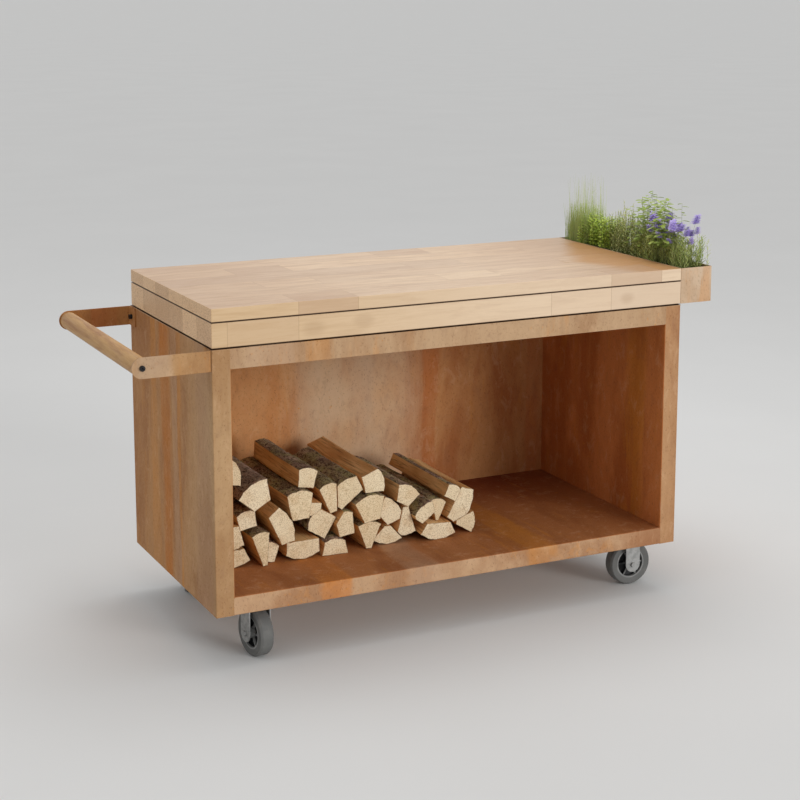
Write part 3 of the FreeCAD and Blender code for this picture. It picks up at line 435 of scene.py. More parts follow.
# Painted shade: the right wall's lining is a darker, more orange copy of the steel.
dress(weathered_steel("steel_right_wall", tan=paint(183, 139, 98), brown=paint(162, 113, 74), across="Y",
                      shift=2.0, lining=("X", -1.0, paint(200, 122, 66), paint(172, 96, 44)),
                      runs=right_wall_runs), "right_wall")

back_runs = ((-0.34, 0.115, 0.65, paint(194, 122, 62)), (-0.01, 0.18, 0.7, paint(208, 181, 150)),
             (0.236, 0.03, 0.7, paint(180, 100, 46)), (0.60, 0.02, 0.5, STEEL_RED))
# Painted light and shade: the back's lining is lighter at the left, where the sun reaches in, and fades
# darker and redder into the right wall's shade.
dress(weathered_steel("steel_back", shift=3.0, lining=("Y", -1.0, paint(220, 170, 118), paint(196, 134, 82)),
                      fade=("X", -0.35, 0.45, paint(190, 131, 79), paint(168, 101, 53)), runs=back_runs,
                      marks_inside=True), "back_panel")

# Painted shade: the top panel's upper face, under the boards, is a dark copy of the steel.
dress(weathered_steel("steel_top_rail", tan=paint(188, 154, 118), brown=paint(170, 132, 96), shift=4.0,
                      lining=("Z", 1.0, paint(88, 54, 24), paint(72, 42, 16)),
                      runs=((-0.39, 0.03, 0.35, STEEL_ORANGE), (-0.52, 0.06, 0.4, STEEL_GREY))),
      "top_panel", "top_rib_1", "top_rib_2", "top_rib_3")

floor_runs = ((-0.345, 0.045, 0.6, paint(198, 122, 52)), (-0.10, 0.05, 0.4, STEEL_GREY),
              (0.24, 0.04, 0.4, STEEL_ORANGE), (0.58, 0.08, 0.5, paint(150, 88, 44)))
# Painted shade: the store's floor is darker and browner towards the back, and its lining is a darker copy of
# the steel.
dress(weathered_steel("steel_floor", shift=5.0, upright=False, streaks=0.4, runs=floor_runs,
                      lining=("Z", 1.0, paint(172, 110, 63), paint(148, 88, 45)),
                      painted_shade=("Y", -0.05, 0.34, paint(116, 48, 17))),
      "base_panel", "castor_channel_left", "castor_channel_right")

# %% [markdown]
# The handle's front arm is pale at its outer end, and the rear arm is a darker, more orange copy of the
# steel as painted shade. The trough is the palest sheet of all.

# %% Steel on the handle's arms and the trough
dress(weathered_steel("steel_front_arm", tan=paint(182, 142, 98), brown=paint(162, 118, 74), shift=6.0,
                      streaks=0.2, runs=((-0.825, 0.045, 0.6, paint(188, 162, 136)),)), "handle_arm_front")
# Painted shade: the rear arm is a darker, more orange copy of the front arm's steel.
dress(weathered_steel("steel_rear_arm", tan=paint(176, 122, 70), brown=paint(152, 98, 52), shift=6.5,
                      streaks=0.3, runs=((-0.74, 0.03, 0.5, STEEL_RED),)), "handle_arm_rear")
dress(weathered_steel("steel_trough", tan=paint(208, 182, 154), brown=paint(190, 159, 128), shift=7.0,
                      streaks=0.3, runs=((0.76, 0.014, 0.35, STEEL_ORANGE),)), "planter_box")

# %% [markdown]
# ### Hardwood boards
# The two boards are glued up from staves that run the length of the table, about 107 mm wide, and each
# stave is pieced together from long and short blocks. What one sees is mostly a small jump of tone from
# block to block. The pattern is arithmetic: the depth gives the stave, the length gives the block, and a
# random tone is looked up for that pair. The grain noise is shifted by the same random value, so it breaks
# at each joint as real grain does. A warm shadow and reflection is painted over the right end, beside the
# trough. The shadow groove between the two boards and the gap below them are painted dark as shade, so that
# both show as dark lines.

# %% Measures and tones of the boards
CABINET_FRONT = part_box("left_wall")[0].y
CABINET_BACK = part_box("left_wall")[1].y
BOARD_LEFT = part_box("upper_board")[0].x
BOARD_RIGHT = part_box("upper_board")[1].x
LOWER_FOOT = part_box("lower_board")[0].z
GROOVE_HEIGHT = 0.0025
GROOVE_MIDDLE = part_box("upper_board")[0].z + 0.5 * GROOVE_HEIGHT
STAVE_WIDTH = 0.1067
STAVE_SHIFT = 0.0004
BLOCK_LENGTH = 0.900
ROW_OFFSET = 0.475

BLOCK_TONES = (paint(226, 200, 170), paint(220, 192, 162), paint(212, 186, 160), paint(204, 176, 150))
BLOCK_SHARES = (0.45, 0.72)
FIGURE = ((1.1, 9.0, 9.0), (3.6, 6.0, 0.6, 1.2), (0.42, 0.68, 0.65, paint(192, 160, 132)))
STRIPES = ((1.6, 40.0, 40.0), (4.0, 5.0, 0.7, 0.5), (0.5, 0.7, 0.45, paint(184, 148, 116)))
PORES = ((5.0, 120.0, 120.0), (4.0, 3.0, 0.7), (0.52, 0.75, 0.35, paint(176, 144, 110)))
PINK_TONE = paint(190, 156, 126)
END_PALE = paint(248, 210, 162)
END_DOTS = ((1.0, 1.0, 1.4), (240.0, 3.0, 0.7), (0.42, 0.7, 1.0, paint(188, 142, 100)))
END_DRY = paint(160, 118, 80)
END_DRYNESS = 0.45
END_FACING = (0.5, 0.8)
END_STRENGTH = 0.75
KNOT_SHAPE = (0.5, 0.3, 0.8)
KNOT_WAVER = 0.012
KNOT_STRENGTH = 0.22
KNOT_TONE = paint(150, 112, 74)

# The top is darker towards both ends of the table.
OUTER_DARK_REACH = (0.15, 0.62, 0.0, 0.42)
OUTER_DARK_TONE = paint(176, 138, 108)
EDGE_REACH = (-0.70, 0.40)
EDGE_WARM = paint(201, 165, 112)
EDGE_PALE = paint(232, 208, 178)
EDGE_STRENGTH = 0.55
JOINT_LINE = (0.0009, 0.0002, 0.55, paint(150, 116, 84))
# Painted shade: the shadow groove between the boards and the gap below the lower board are painted dark.
GAP_PAINTED_SHADE = paint(78, 46, 16)
GROOVE_PAINTED_SHADE = (1.2 * GROOVE_HEIGHT, 0.5 * GROOVE_HEIGHT, 0.85, GAP_PAINTED_SHADE)
FOOT_PAINTED_SHADE = (0.0025, 0.0005, 0.85, GAP_PAINTED_SHADE)
# Painted warm shadow and reflection over the right end of the top, beside the trough and its plants.
WARM_SHADE_START = 0.06
WARM_SHADE_TURN = 0.43
WARM_SHADE_REACH = 0.228
WARM_SHADE_RISE = WARM_SHADE_REACH / (WARM_SHADE_TURN - WARM_SHADE_START)
WARM_SHADE_FALL = 0.4
WARM_SHADE_CHANCE = 0.07
WARM_SHADE_EDGE = (0.005, 0.085, 0.0, 0.72)
WARM_SHADE_TONE = paint(186, 130, 66)
print("boards:", round(1000 * (BOARD_RIGHT - BOARD_LEFT)), "mm long")


# %% A function for pieced wood
def find_block(axes, first_joint, short_block, seed):
    """Find the stave and the block of a point; returns the stave's number, whether the block is a short one,
    the block's chance values, and the distances to the nearest joint along the board and across it."""
    across = calc("DIVIDE", minus(axes["Y"], CABINET_FRONT - STAVE_SHIFT), STAVE_WIDTH)
    row = calc("FLOOR", across)
    start = plus(times(calc("MODULO", row, 2.0), ROW_OFFSET), first_joint)
    along = calc("DIVIDE", minus(axes["X"], start), BLOCK_LENGTH)
    block = calc("FLOOR", along)
    within = times(minus(along, block), BLOCK_LENGTH)
    short = calc("LESS_THAN", within, short_block)
    key = vector_of(row, plus(times(block, 2.0), short), seed)
    chances = add("ShaderNodeTexWhiteNoise", {"Vector": key}, noise_dimensions="3D").outputs
    rim_x = calc("MINIMUM", within, minus(BLOCK_LENGTH, within))
    rim_x = calc("MINIMUM", rim_x, size_of(minus(within, short_block)))
    part = minus(across, row)
    rim_y = times(calc("MINIMUM", part, minus(1.0, part)), STAVE_WIDTH)
    return row, short, chances, rim_x, rim_y


def painted_warm_shade(colour, axes, upwards, block_chance):
    """Painted warm shadow and reflection beside the trough, over the right end of the boards, reaching
    farthest at two thirds of their depth. Its edge shifts a little from block to block."""
    depth = minus(CABINET_BACK, axes["Y"])
    rise = times(minus(depth, WARM_SHADE_START), WARM_SHADE_RISE)
    fall = minus(WARM_SHADE_REACH, times(minus(depth, WARM_SHADE_TURN), WARM_SHADE_FALL))
    reach = plus(calc("MINIMUM", rise, fall), times(block_chance, WARM_SHADE_CHANCE))
    inside = plus(minus(axes["X"], BOARD_RIGHT), reach)
    return blend(times(between(inside, *WARM_SHADE_EDGE), upwards), colour, WARM_SHADE_TONE)


def add_knots(colour, place, figure, knots):
    """Dark knots in the front edge. A knot is its X, its height and its half width."""
    for knot_x, knot_z, half_width in knots:
        off = vector_calc("SUBTRACT", place, (knot_x, CABINET_FRONT, knot_z))[0]
        away = vector_calc("LENGTH", vector_calc("MULTIPLY", off, KNOT_SHAPE)[0])["Value"]
        away = plus(away, times(minus(figure, 0.5), KNOT_WAVER))
        colour = veil(colour, away, half_width, 0.25 * half_width, KNOT_STRENGTH, KNOT_TONE)
    return colour


def stave_wood(name, first_joint, short_block, pinkness, seed, knots=(), warm_shaded=False):
    """Boards of staves. first_joint is the X of the front stave's first butt joint, where a block of the
    length short_block starts; pinkness is how much pinker that block is."""
    material, place = start_material(name)
    axes = axes_of(place)
    faces = facing(material)
    row, short, chances, rim_x, rim_y = find_block(axes, first_joint, short_block, seed)
    tones = add("ShaderNodeValToRGB", {"Fac": chances["Value"]})
    ramp = tones.color_ramp.elements
    ramp[0].color = BLOCK_TONES[0]
    ramp[1].color = BLOCK_TONES[-1]
    for share, tone in zip(BLOCK_SHARES, BLOCK_TONES[1:-1]):
        ramp.new(share).color = tone
    moved = vector_calc("ADD", place, chances["Color"])[0]
    colour, figure = coat(tones.outputs["Color"], moved, *FIGURE)
    colour, _ = coat(colour, moved, *STRIPES)
    colour, pores = coat(colour, moved, *PORES)
    # The top faces grow darker towards both ends of the table.
    outer_dark = between(size_of(axes["X"]), *OUTER_DARK_REACH)
    colour = blend(times(outer_dark, faces["Z"]), colour, OUTER_DARK_TONE)
    # Painted warm shadow and reflection on the top beside the trough.
    if warm_shaded:
        colour = painted_warm_shade(colour, axes, faces["Z"], chances["Value"])
    edge = size_of(faces["Y"])
    edge_tone = blend(between(axes["X"], *EDGE_REACH), EDGE_WARM, EDGE_PALE)
    colour = blend(times(edge, EDGE_STRENGTH), colour, edge_tone)
    pink = times(short, calc("LESS_THAN", row, 0.5))
    colour = blend(times(pink, pinkness), colour, PINK_TONE)
    end_colour, _ = coat(END_PALE, moved, *END_DOTS)
    end_colour = blend(times(chances["Value"], END_DRYNESS), end_colour, END_DRY)
    end = between(size_of(faces["X"]), *END_FACING)
    colour = blend(times(end, END_STRENGTH), colour, end_colour)
    colour = add_knots(colour, place, figure, knots)
    rim = calc("MINIMUM", rim_x, plus(rim_y, edge))
    colour = veil(colour, rim, *JOINT_LINE)
    # Painted shade darkens the shadow groove between the boards and the gap below the lower board.
    colour = veil(colour, size_of(minus(axes["Z"], GROOVE_MIDDLE)), *GROOVE_PAINTED_SHADE)
    colour = veil(colour, minus(axes["Z"], LOWER_FOOT), *FOOT_PAINTED_SHADE)
    return finished(material, colour, pores, (0.42, 0.6), (0.15, 0.0004), Specular_IOR_Level=0.35)


lower_knots = [(BOARD_LEFT + along, LOWER_FOOT + up, half_width) for along, up, half_width in
               ((0.265, 0.027, 0.022), (0.400, 0.035, 0.02), (1.175, 0.029, 0.016))]
dress(stave_wood("wood_upper_board", BOARD_LEFT + 0.225, 0.160, 0.45, 3.0, warm_shaded=True), "upper_board")
dress(stave_wood("wood_lower_board", BOARD_LEFT + 0.040, 0.185, 0.12, 8.0, lower_knots), "lower_board")

# %% [markdown]
# ### The round grip
# The grip is turned from one piece of the same wood. Its grain runs from front to back, so the noise is
# drawn out along that axis, and oil and hands have given it a smoother, slightly warmer surface.

# %% Turned wood
GRIP_BASE = paint(192, 147, 86)
GRIP_FIGURE = ((14.0, 1.2, 14.0), (3.0, 6.0, 0.6, 1.5), (0.35, 0.7, 1.0, paint(158, 107, 54)))
GRIP_PORES = ((130.0, 5.0, 130.0), (4.0, 3.0, 0.7), (0.52, 0.75, 0.35, paint(150, 108, 70)))


def turned_wood(name):
    """One turned piece with its grain along Y."""
    material, place = start_material(name)
    colour, _ = coat(GRIP_BASE, place, *GRIP_FIGURE)
    colour, pores = coat(colour, place, *GRIP_PORES)
    return finished(material, colour, pores, (0.4, 0.55), (0.15, 0.0004), Specular_IOR_Level=0.35)


dress(turned_wood("wood_grip"), "handle_grip")

# %% [markdown]
# ### Metal fittings, rubber and plastic
# The castors are zinc-plated: a dull grey metal with faint clouds. The screws of the handle are blackened,
# the inserts are brass. The tyres are grey rubber with a little dust, on a grey moulded core whose deep web
# is painted dark as shade.

# %% Plated, blackened and brass fittings
CORNERS = ("front_left", "front_right", "rear_left", "rear_right")
METAL_CLOUDS = (70.0, 4.0, 0.6)
METAL_GRAIN = (300.0, 2.0)


def fitting_metal(name, bright, dull, rough):
    """Plated or blackened metal with soft clouds of tone and gloss."""
    material, place = start_material(name)
    colour, clouds = coat(bright, place, EVEN, METAL_CLOUDS, (0.35, 0.65, 1.0, dull))
    fine = cloud(stretched(place, (1.0, 1.0, 6.0)), *METAL_GRAIN)
    return finished(material, colour, clouds, rough, (0.08, 0.0003), fine, Metallic=0.85)


zinc = fitting_metal("zinc_plating", paint(164, 164, 162), paint(144, 144, 142), (0.40, 0.58))
for corner in CORNERS:
    dress(zinc, "castor_plate_" + corner, "castor_fork_" + corner, "castor_axle_" + corner)
dress(zinc, "castor_kingpins", "castor_bolts", "castor_nuts", "board_screws", "planter_screws", "arm_nuts")
dress(fitting_metal("blackened_steel", paint(52, 50, 50), paint(34, 33, 34), (0.34, 0.52)),
      "grip_screws", "arm_bolts")
dress(fitting_metal("brass_inserts", paint(206, 172, 104), paint(170, 134, 70), (0.27, 0.45)), "grip_inserts")

# %% [markdown]
# The wheel's core has a pale hub and rim, and between them lies a deep web, which is painted dark as
# shade. One material can tell them apart by the distance from the wheel's middle plane. The plane is square
# to the axle, and the axle's direction is found from its mesh, as the line between the two points of it that
# are farthest apart.

# %% Rubber and moulded plastic
DUST_NOISE = (45.0, 5.0, 0.65)
DUST_REACH = (0.4, 0.75, 1.0)
RUBBER_GRAIN = 500.0
CORE_GRAIN = 400.0
CORE_PALE = paint(132, 132, 130)
CORE_DUSTY = paint(150, 149, 146)
WEB_PAINTED_SHADE = paint(46, 46, 47)
WEB_DEPTH = 0.0085
WEB_EDGE = 0.003


def moulded(name, base, dusty, grain_scale, rough, axle=None):
    """Rubber or plastic with a fine grain and some dust. A wheel's core is painted nearly black as shade
    where
    it lies deep inside the wheel: axle is then the wheel's middle and the direction of its axle."""
    material, place = start_material(name)
    colour, _ = coat(base, place, EVEN, DUST_NOISE, (*DUST_REACH, dusty))
    if axle:
        offset = vector_calc("SUBTRACT", place, axle[0])[0]
        along = size_of(vector_calc("DOT_PRODUCT", offset, axle[1])["Value"])
        # Painted shade: the deep web between hub and rim is painted nearly black.
        colour = blend(between(along, WEB_DEPTH, WEB_DEPTH + WEB_EDGE), WEB_PAINTED_SHADE, colour)
    grain = cloud(place, grain_scale, 2.0, 0.5)
    return finished(material, colour, grain, rough, (0.2, 0.0003), Specular_IOR_Level=0.3)


def axle_direction(corner):
    """The direction of a castor's axle."""
    points = [vert.co for vert in nodes["castor_axle_" + corner].data.vertices]
    start = max(points, key=lambda point: (point - points[0]).length)
    end = max(points, key=lambda point: (point - start).length)
    return (end - start).normalized()


dress(moulded("pad_rubber", paint(28, 27, 27), paint(48, 46, 44), RUBBER_GRAIN, (0.72, 0.88)), "board_pads")
tyre_rubber = moulded("tyre_rubber", paint(100, 100, 98), paint(112, 111, 108), RUBBER_GRAIN, (0.64, 0.80))
for corner in CORNERS:
    tyre_low, tyre_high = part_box("castor_wheel_tyre_" + corner)
    core_axle = ((tyre_low + tyre_high) / 2, axle_direction(corner))
    dress(tyre_rubber, "castor_wheel_tyre_" + corner)
    dress(moulded("wheel_core_" + corner, CORE_PALE, CORE_DUSTY, CORE_GRAIN, (0.47, 0.63), core_axle),
          "castor_wheel_core_" + corner)

# %% [markdown]
# ### The floor of the studio
# A single flat tone would do, but a very faint mottle keeps it from looking like paper.

# %% Floor finish
def studio_floor():
    """Nearly white, matt and quiet."""
    material, place = start_material("studio_floor")
    mottle = cloud(place, 1.2, 3.0)
    colour = blend(mottle, paint(226, 226, 225), paint(232, 232, 231))
    return finished(material, colour, mottle, (0.85, 0.9), Specular_IOR_Level=0.1)


floor.data.materials.append(studio_floor())
print("finishes:", len(bpy.data.materials))

# %% [markdown]
# ## Split logs
# Firewood is round timber split lengthwise. A log has up to three kinds of surface: pale sawn ends with
# growth rings, brown split faces with long fibres, and rough bark on the round side. The CAD model has each
# log as a prism with its true end outline, so the detailed log starts from that outline: it is cut into
# short steps, carried back along the log in many rings, and each point is pushed in or out by noise. Bark
# is found from the outline itself: it is an arc of equal steps that turn by about 18 degrees, which no
# split corner does.

# %% Read the outlines of the CAD logs
BARK_TURN = math.radians(17.75)
BARK_TURN_PLAY = math.radians(1.2)
MERGE_DISTANCE = 1e-5
FLAT_ANGLE = math.radians(1.0)
FRONT_FACING = -0.99


def log_outlines(node):
    """The front outline of every log in a CAD row, as (x, z) points, with its front and back Y."""
    work = bmesh.new()
    work.from_mesh(nodes[node].data)
    bmesh.ops.remove_doubles(work, verts=work.verts, dist=MERGE_DISTANCE)
    bmesh.ops.dissolve_limit(work, angle_limit=FLAT_ANGLE, verts=work.verts, edges=work.edges)
    found = []
    for face in work.faces:
        if face.normal.y < FRONT_FACING:
            corner = face.verts[0]
            lengthwise = [edge for edge in corner.link_edges if edge not in face.edges]
            back = lengthwise[0].other_vert(corner).co.y
            found.append(([(vert.co.x, vert.co.z) for vert in face.verts], corner.co.y, back))
    work.free()
    return found


def bark_edges(outline):
    """For each edge of an outline, whether it is part of the round, bark-covered side."""
    count = len(outline)
    soft = []
    for i in range(count):
        before = Vector(outline[i]) - Vector(outline[i - 1])
        after = Vector(outline[(i + 1) % count]) - Vector(outline[i])
        soft.append(abs(before.angle(after) - BARK_TURN) < BARK_TURN_PLAY)
    return [soft[i] or soft[(i + 1) % count] for i in range(count)]


sample = log_outlines("log_row_1")
print("log_row_1:", len(sample), "logs;", [len(outline) for outline, _, _ in sample], "corners")

# %% [markdown]
# The sawn end needs to know where the middle of the tree was, because the rings circle round it, and every
# face needs a coordinate that belongs to its own log, so that neighbours don't share one pattern. Both are
# stored on the mesh as an attribute: the distance from the tree's middle to the side and upwards, and the
# place along the log plus a jump of its own. The materials read this attribute in place of Object
# coordinates. Two more numbers are stored: a tone for each log, because no two logs have dried alike, and a
# mark on the rim of the sawn ends.

# %% Build one detailed log
LOG_STEP = 0.0075
LOG_RING = 0.012
LOG_INSET = 0.0009
LOG_TILT = 0.06
TILT_PHASE = 5.1
LOG_BOW = 0.003
BOW_PHASE = 3.7
RIM_WIDTH = 0.0016
SAWN, BARK, SPLIT = range(3)
BARK_RELIEF = ((42, 20, 0.0022), (150, 90, 0.00099))
FIBRE_RELIEF = ((110, 7, 0.0011), (9, 6, 0.0011))
ROW_JUMP = 7.3
LOG_JUMP = 1.9
ROW_TONE = 0.37
LOG_TONE = 0.618


def middle_of(points):
    """The mean of some points."""
    return sum((Vector(point) for point in points), Vector((0, 0))) / len(points)


def pith_of(outline, bark):
    """The middle of the tree: the corner farthest from the bark, or the outline's middle."""
    barked = [Vector(outline[i]).lerp(Vector(outline[(i + 1) % len(outline)]), 0.5)
              for i in range(len(outline)) if bark[i]]
    if not barked:
        return middle_of(outline)
    side = middle_of(barked)
    return max((Vector(point) for point in outline), key=lambda point: (point - side).length)


def outline_steps(outline, bark):
    """Cut an outline into short steps: each step's point, its outward direction and whether it is bark."""
    middle = middle_of(outline)
    steps = []
    for i, corner in enumerate(outline):
        start, end = Vector(corner), Vector(outline[(i + 1) % len(outline)])
        along = (end - start).normalized()
        outward = Vector((along.y, -along.x))
        if (start - middle).dot(outward) < 0:
            outward = -outward
        pieces = max(1, round((end - start).length / LOG_STEP))
        steps += [(start.lerp(end, k / pieces), outward, bark[i]) for k in range(pieces)]
    return steps


def relief_at(flat, y, jump, waves):
    """How far the surface stands out. A wave is how fine it is across and along the log, and its depth."""
    total = 0.0
    for across, along, depth in waves:
        total += noise.noise(Vector((flat.x * across, y * along + jump, flat.y * across))) * depth
    return total


def close_end(work, layers, ring, steps):
    """Close one end of a log with a narrow rim and a flat sawn face."""
    inner = []
    for k, vert in enumerate(ring):
        inward = -(steps[k][1] + steps[k - 1][1]).normalized() * RIM_WIDTH
        copy = work.verts.new((vert.co.x + inward.x, vert.co.y, vert.co.z + inward.y))
        copy[layers["grain"]] = vert[layers["grain"]]
        copy[layers["tone"]] = vert[layers["tone"]]
        inner.append(copy)
    for k in range(len(ring)):
        after = (k + 1) % len(ring)
        work.faces.new((ring[k], ring[after], inner[after], inner[k])).material_index = SAWN
        work.edges.get((ring[k], ring[after])).smooth = False
    work.faces.new(inner).material_index = SAWN


def add_log(work, layers, outline, front, back, jump, tone):
    """Add one log to the row's mesh: rings of points along the length, closed by two sawn ends."""
    bark = bark_edges(outline)
    pith = pith_of(outline, bark)
    middle = middle_of(outline)
    steps = outline_steps(outline, bark)
    rings = max(2, round((back - front) / LOG_RING))
    tilt = LOG_TILT * math.sin(TILT_PHASE * jump)
    bow = LOG_BOW * math.cos(BOW_PHASE * jump)
    grid = []
    for r in range(rings + 1):
        share = r / rings
        level = front + share * (back - front)
        ring = []
        for flat, outward, barked in steps:
            y = level + tilt * (flat.x - middle.x) * (1 - 2 * share)
            relief = relief_at(flat, y, jump, BARK_RELIEF if barked else FIBRE_RELIEF)
            place = flat + outward * (relief - LOG_INSET)
            place.y += bow * math.sin(math.pi * share)
            vert = work.verts.new((place.x, y, place.y))
            vert[layers["grain"]] = (flat.x - pith.x, y + jump, flat.y - pith.y)
            vert[layers["tone"]] = tone
            vert[layers["rim"]] = 1.0
            ring.append(vert)
        grid.append(ring)
    for near, far in zip(grid, grid[1:]):
        for k, step in enumerate(steps):
            after = (k + 1) % len(steps)
            face = work.faces.new((near[k], near[after], far[after], far[k]))
            face.material_index = BARK if step[2] else SPLIT
            face.smooth = True
    close_end(work, layers, grid[0], steps)
    close_end(work, layers, grid[-1], steps)


def build_log_row(node, number):
    """One mesh with all the logs of a CAD row."""
    work = bmesh.new()
    layers = {"grain": work.verts.layers.float_vector.new("grain"),
              "tone": work.verts.layers.float.new("tone"), "rim": work.verts.layers.float.new("rim")}
    for index, (outline, front, back) in enumerate(log_outlines(node)):
        jump = ROW_JUMP * number + LOG_JUMP * index
        add_log(work, layers, outline, front, back, jump, (LOG_TONE * index + ROW_TONE * number) % 1)
    bmesh.ops.recalc_face_normals(work, faces=work.faces)
    mesh = bpy.data.meshes.new("split_" + node)
    work.to_mesh(mesh)
    work.free()
    return new_object("split_" + node, mesh)


# %% [markdown]
# The sawn end is pale with dark flecks from the saw and faint rings. Split faces are brown and fibrous.
# Bark is a grey green to dark brown skin, broken into plates.

# %% Sawn, barked and split finishes
SAWN_BASE = (paint(240, 224, 192), paint(218, 192, 148))
SAWN_RING = (-0.4, 1.0, 0.3, paint(196, 164, 122))
SAWN_WARM = (EVEN, (22.0, 4.0), (0.45, 0.7, 0.4, paint(206, 172, 126)))
SAWN_FLECKS = (EVEN, (330.0, 3.0, 0.7), (0.50, 0.62, 0.5, paint(140, 106, 70)),
               (0.44, 0.32, 0.5, paint(250, 238, 214)))
# The dark rim of each sawn end is partly the bark's edge and partly painted shade between touching logs.
SAWN_RIM = (0.2, 0.9, 0.8, paint(84, 60, 42))
SAWN_AGEING = 0.6
RING_PITCH = 2200.0
RING_WAVER = 0.006
RING_NOISE = (30.0, 3.0)
SPLIT_BASE = (paint(248, 208, 148), paint(236, 186, 124))
SPLIT_BROAD = ((1.0, 0.2, 1.0), (26.0, 4.0), (0.35, 0.68, 1.0, paint(212, 156, 96)))
SPLIT_FIBRES = ((1.0, 0.05, 1.0), (190.0, 5.0, 0.65, 0.5), (0.48, 0.68, 0.6, paint(122, 78, 44)))
BARK_BASE = paint(182, 154, 136)
MOSS_NOISE = (16.0, 4.0)
MOSS_CHANCE = 0.25
BARK_MOSS = (0.5, 0.75, 1.0, paint(164, 156, 108))
BARK_DAMP = ((1.0, 0.4, 1.0), (30.0, 4.0), (0.46, 0.6, 0.6, paint(98, 68, 62)))
BARK_PLATES = ((1.0, 0.5, 1.0), (120.0, 6.0, 0.75, 0.8), (0.47, 0.58, 0.9, paint(66, 46, 38)))
BARK_PALE = (EVEN, (260.0, 3.0, 0.7), (0.53, 0.66, 0.7, paint(214, 200, 172)))


def start_log_material(name):
    """A new material; returns it with the coordinates of the log's own grain and the log's tone."""
    material, _ = start_material(name)
    return material, stored(material, "grain", "Vector"), stored(material, "tone")


def sawn_end():
    """Pale end with growth rings and saw flecks."""
    material, own, tone = start_log_material("log_sawn_end")
    axes = axes_of(own)
    radius = vector_calc("LENGTH", vector_of(axes["X"], 0.0, axes["Z"]))["Value"]
    radius = plus(radius, times(cloud(own, *RING_NOISE), RING_WAVER))
    colour = blend(times(tone, SAWN_AGEING), *SAWN_BASE)
    colour = veil(colour, calc("SINE", times(radius, RING_PITCH)), *SAWN_RING)
    colour, _ = coat(colour, own, *SAWN_WARM)
    colour, flecks = coat(colour, own, *SAWN_FLECKS)
    # Painted shade: the sawn end darkens at its rim, partly the bark's edge and partly shade between touching
    # logs.
    colour = veil(colour, stored(material, "rim"), *SAWN_RIM)
    return finished(material, colour, flecks, (0.75, 0.9), (0.5, 0.0008), Specular_IOR_Level=0.15)


def split_face():
    """Brown split wood with long fibres."""
    material, own, tone = start_log_material("log_split_face")
    colour, _ = coat(blend(tone, *SPLIT_BASE), own, *SPLIT_BROAD)
    colour, fibres = coat(colour, own, *SPLIT_FIBRES)
    return finished(material, colour, fibres, (0.7, 0.88), (0.5, 0.001), Specular_IOR_Level=0.15)


def bark_skin():
    """Rough bark in grey, green and dark brown."""
    material, own, tone = start_log_material("log_bark")
    moss = plus(cloud(own, *MOSS_NOISE), times(tone, MOSS_CHANCE))
    colour = veil(BARK_BASE, moss, *BARK_MOSS)
    colour, _ = coat(colour, own, *BARK_DAMP)
    colour, plates = coat(colour, own, *BARK_PLATES)
    colour, _ = coat(colour, own, *BARK_PALE)
    return finished(material, colour, plates, (0.8, 0.92), (0.8, 0.002), Specular_IOR_Level=0.12)


# %% Replace the CAD logs
log_finishes = (sawn_end(), bark_skin(), split_face())
log_nodes = sorted(name for name in nodes if name.startswith("log_row_"))
for number, node in enumerate(log_nodes, 1):
    row = build_log_row(node, number)
    for finish in log_finishes:
        row.data.materials.append(finish)
    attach(row, "firewood")
    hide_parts(node)
    print(row.name, len(row.data.polygons), "faces")

# %% [markdown]
# ## Soil
# The trough is filled with dark, crumbly soil. Most of it hides under the plants, so a fine grid that rises
# and falls by a few millimetres is enough. Its rim is led down to the trough's floor, which keeps it a
# closed solid.

# %% Crumbly soil
SOIL_CELL = 0.006
SOIL_RELIEF = 0.004
LUMP_SCALE = 60
CRUMB_SCALE = 190
CRUMB_SHARE = 0.6
SOIL_BASE = paint(52, 38, 28)
SOIL_CRUMBS = (EVEN, (160.0, 5.0, 0.7), (0.45, 0.72, 1.0, paint(104, 80, 58)))
soil_low, soil_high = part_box("planter_soil")


def build_soil():
    """A closed block of soil with an uneven top."""
    work = bmesh.new()
    across = round((soil_high.x - soil_low.x) / SOIL_CELL)
    along = round((soil_high.y - soil_low.y) / SOIL_CELL)
    top = {}
    for i in range(across + 1):
        for j in range(along + 1):
            x = soil_low.x + (soil_high.x - soil_low.x) * i / across
            y = soil_low.y + (soil_high.y - soil_low.y) * j / along
            lift = noise.noise(Vector((x * LUMP_SCALE, y * LUMP_SCALE, 0)))
            lift += CRUMB_SHARE * noise.noise(Vector((x * CRUMB_SCALE, y * CRUMB_SCALE, 4)))
            top[i, j] = work.verts.new((x, y, soil_high.z + SOIL_RELIEF * (lift - 0.5)))
    for i in range(across):
        for j in range(along):
            work.faces.new((top[i, j], top[i + 1, j], top[i + 1, j + 1], top[i, j + 1])).smooth = True
    rim = [top[i, 0] for i in range(across)] + [top[across, j] for j in range(along)]
    rim += [top[i, along] for i in range(across, 0, -1)] + [top[0, j] for j in range(along, 0, -1)]
    low = [work.verts.new((vert.co.x, vert.co.y, soil_low.z)) for vert in rim]
    for k in range(len(rim)):
        after = (k + 1) % len(rim)
        work.faces.new((rim[k], low[k], low[after], rim[after]))
    work.faces.new(list(reversed(low)))
    bmesh.ops.recalc_face_normals(work, faces=work.faces)
    mesh = bpy.data.meshes.new("soil")
    work.to_mesh(mesh)
    work.free()
    return new_object("soil", mesh)


def soil_finish():
    """Dark earth with paler crumbs."""
    material, place = start_material("dark_soil")
    colour, crumbs = coat(SOIL_BASE, place, *SOIL_CRUMBS)
    return finished(material, colour, crumbs, (0.85, 0.95), (0.9, 0.003), Specular_IOR_Level=0.1)


soil = build_soil()
soil.data.materials.append(soil_finish())
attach(soil, "cabinet")
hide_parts("planter_soil")
print("soil:", len(soil.data.polygons), "faces")

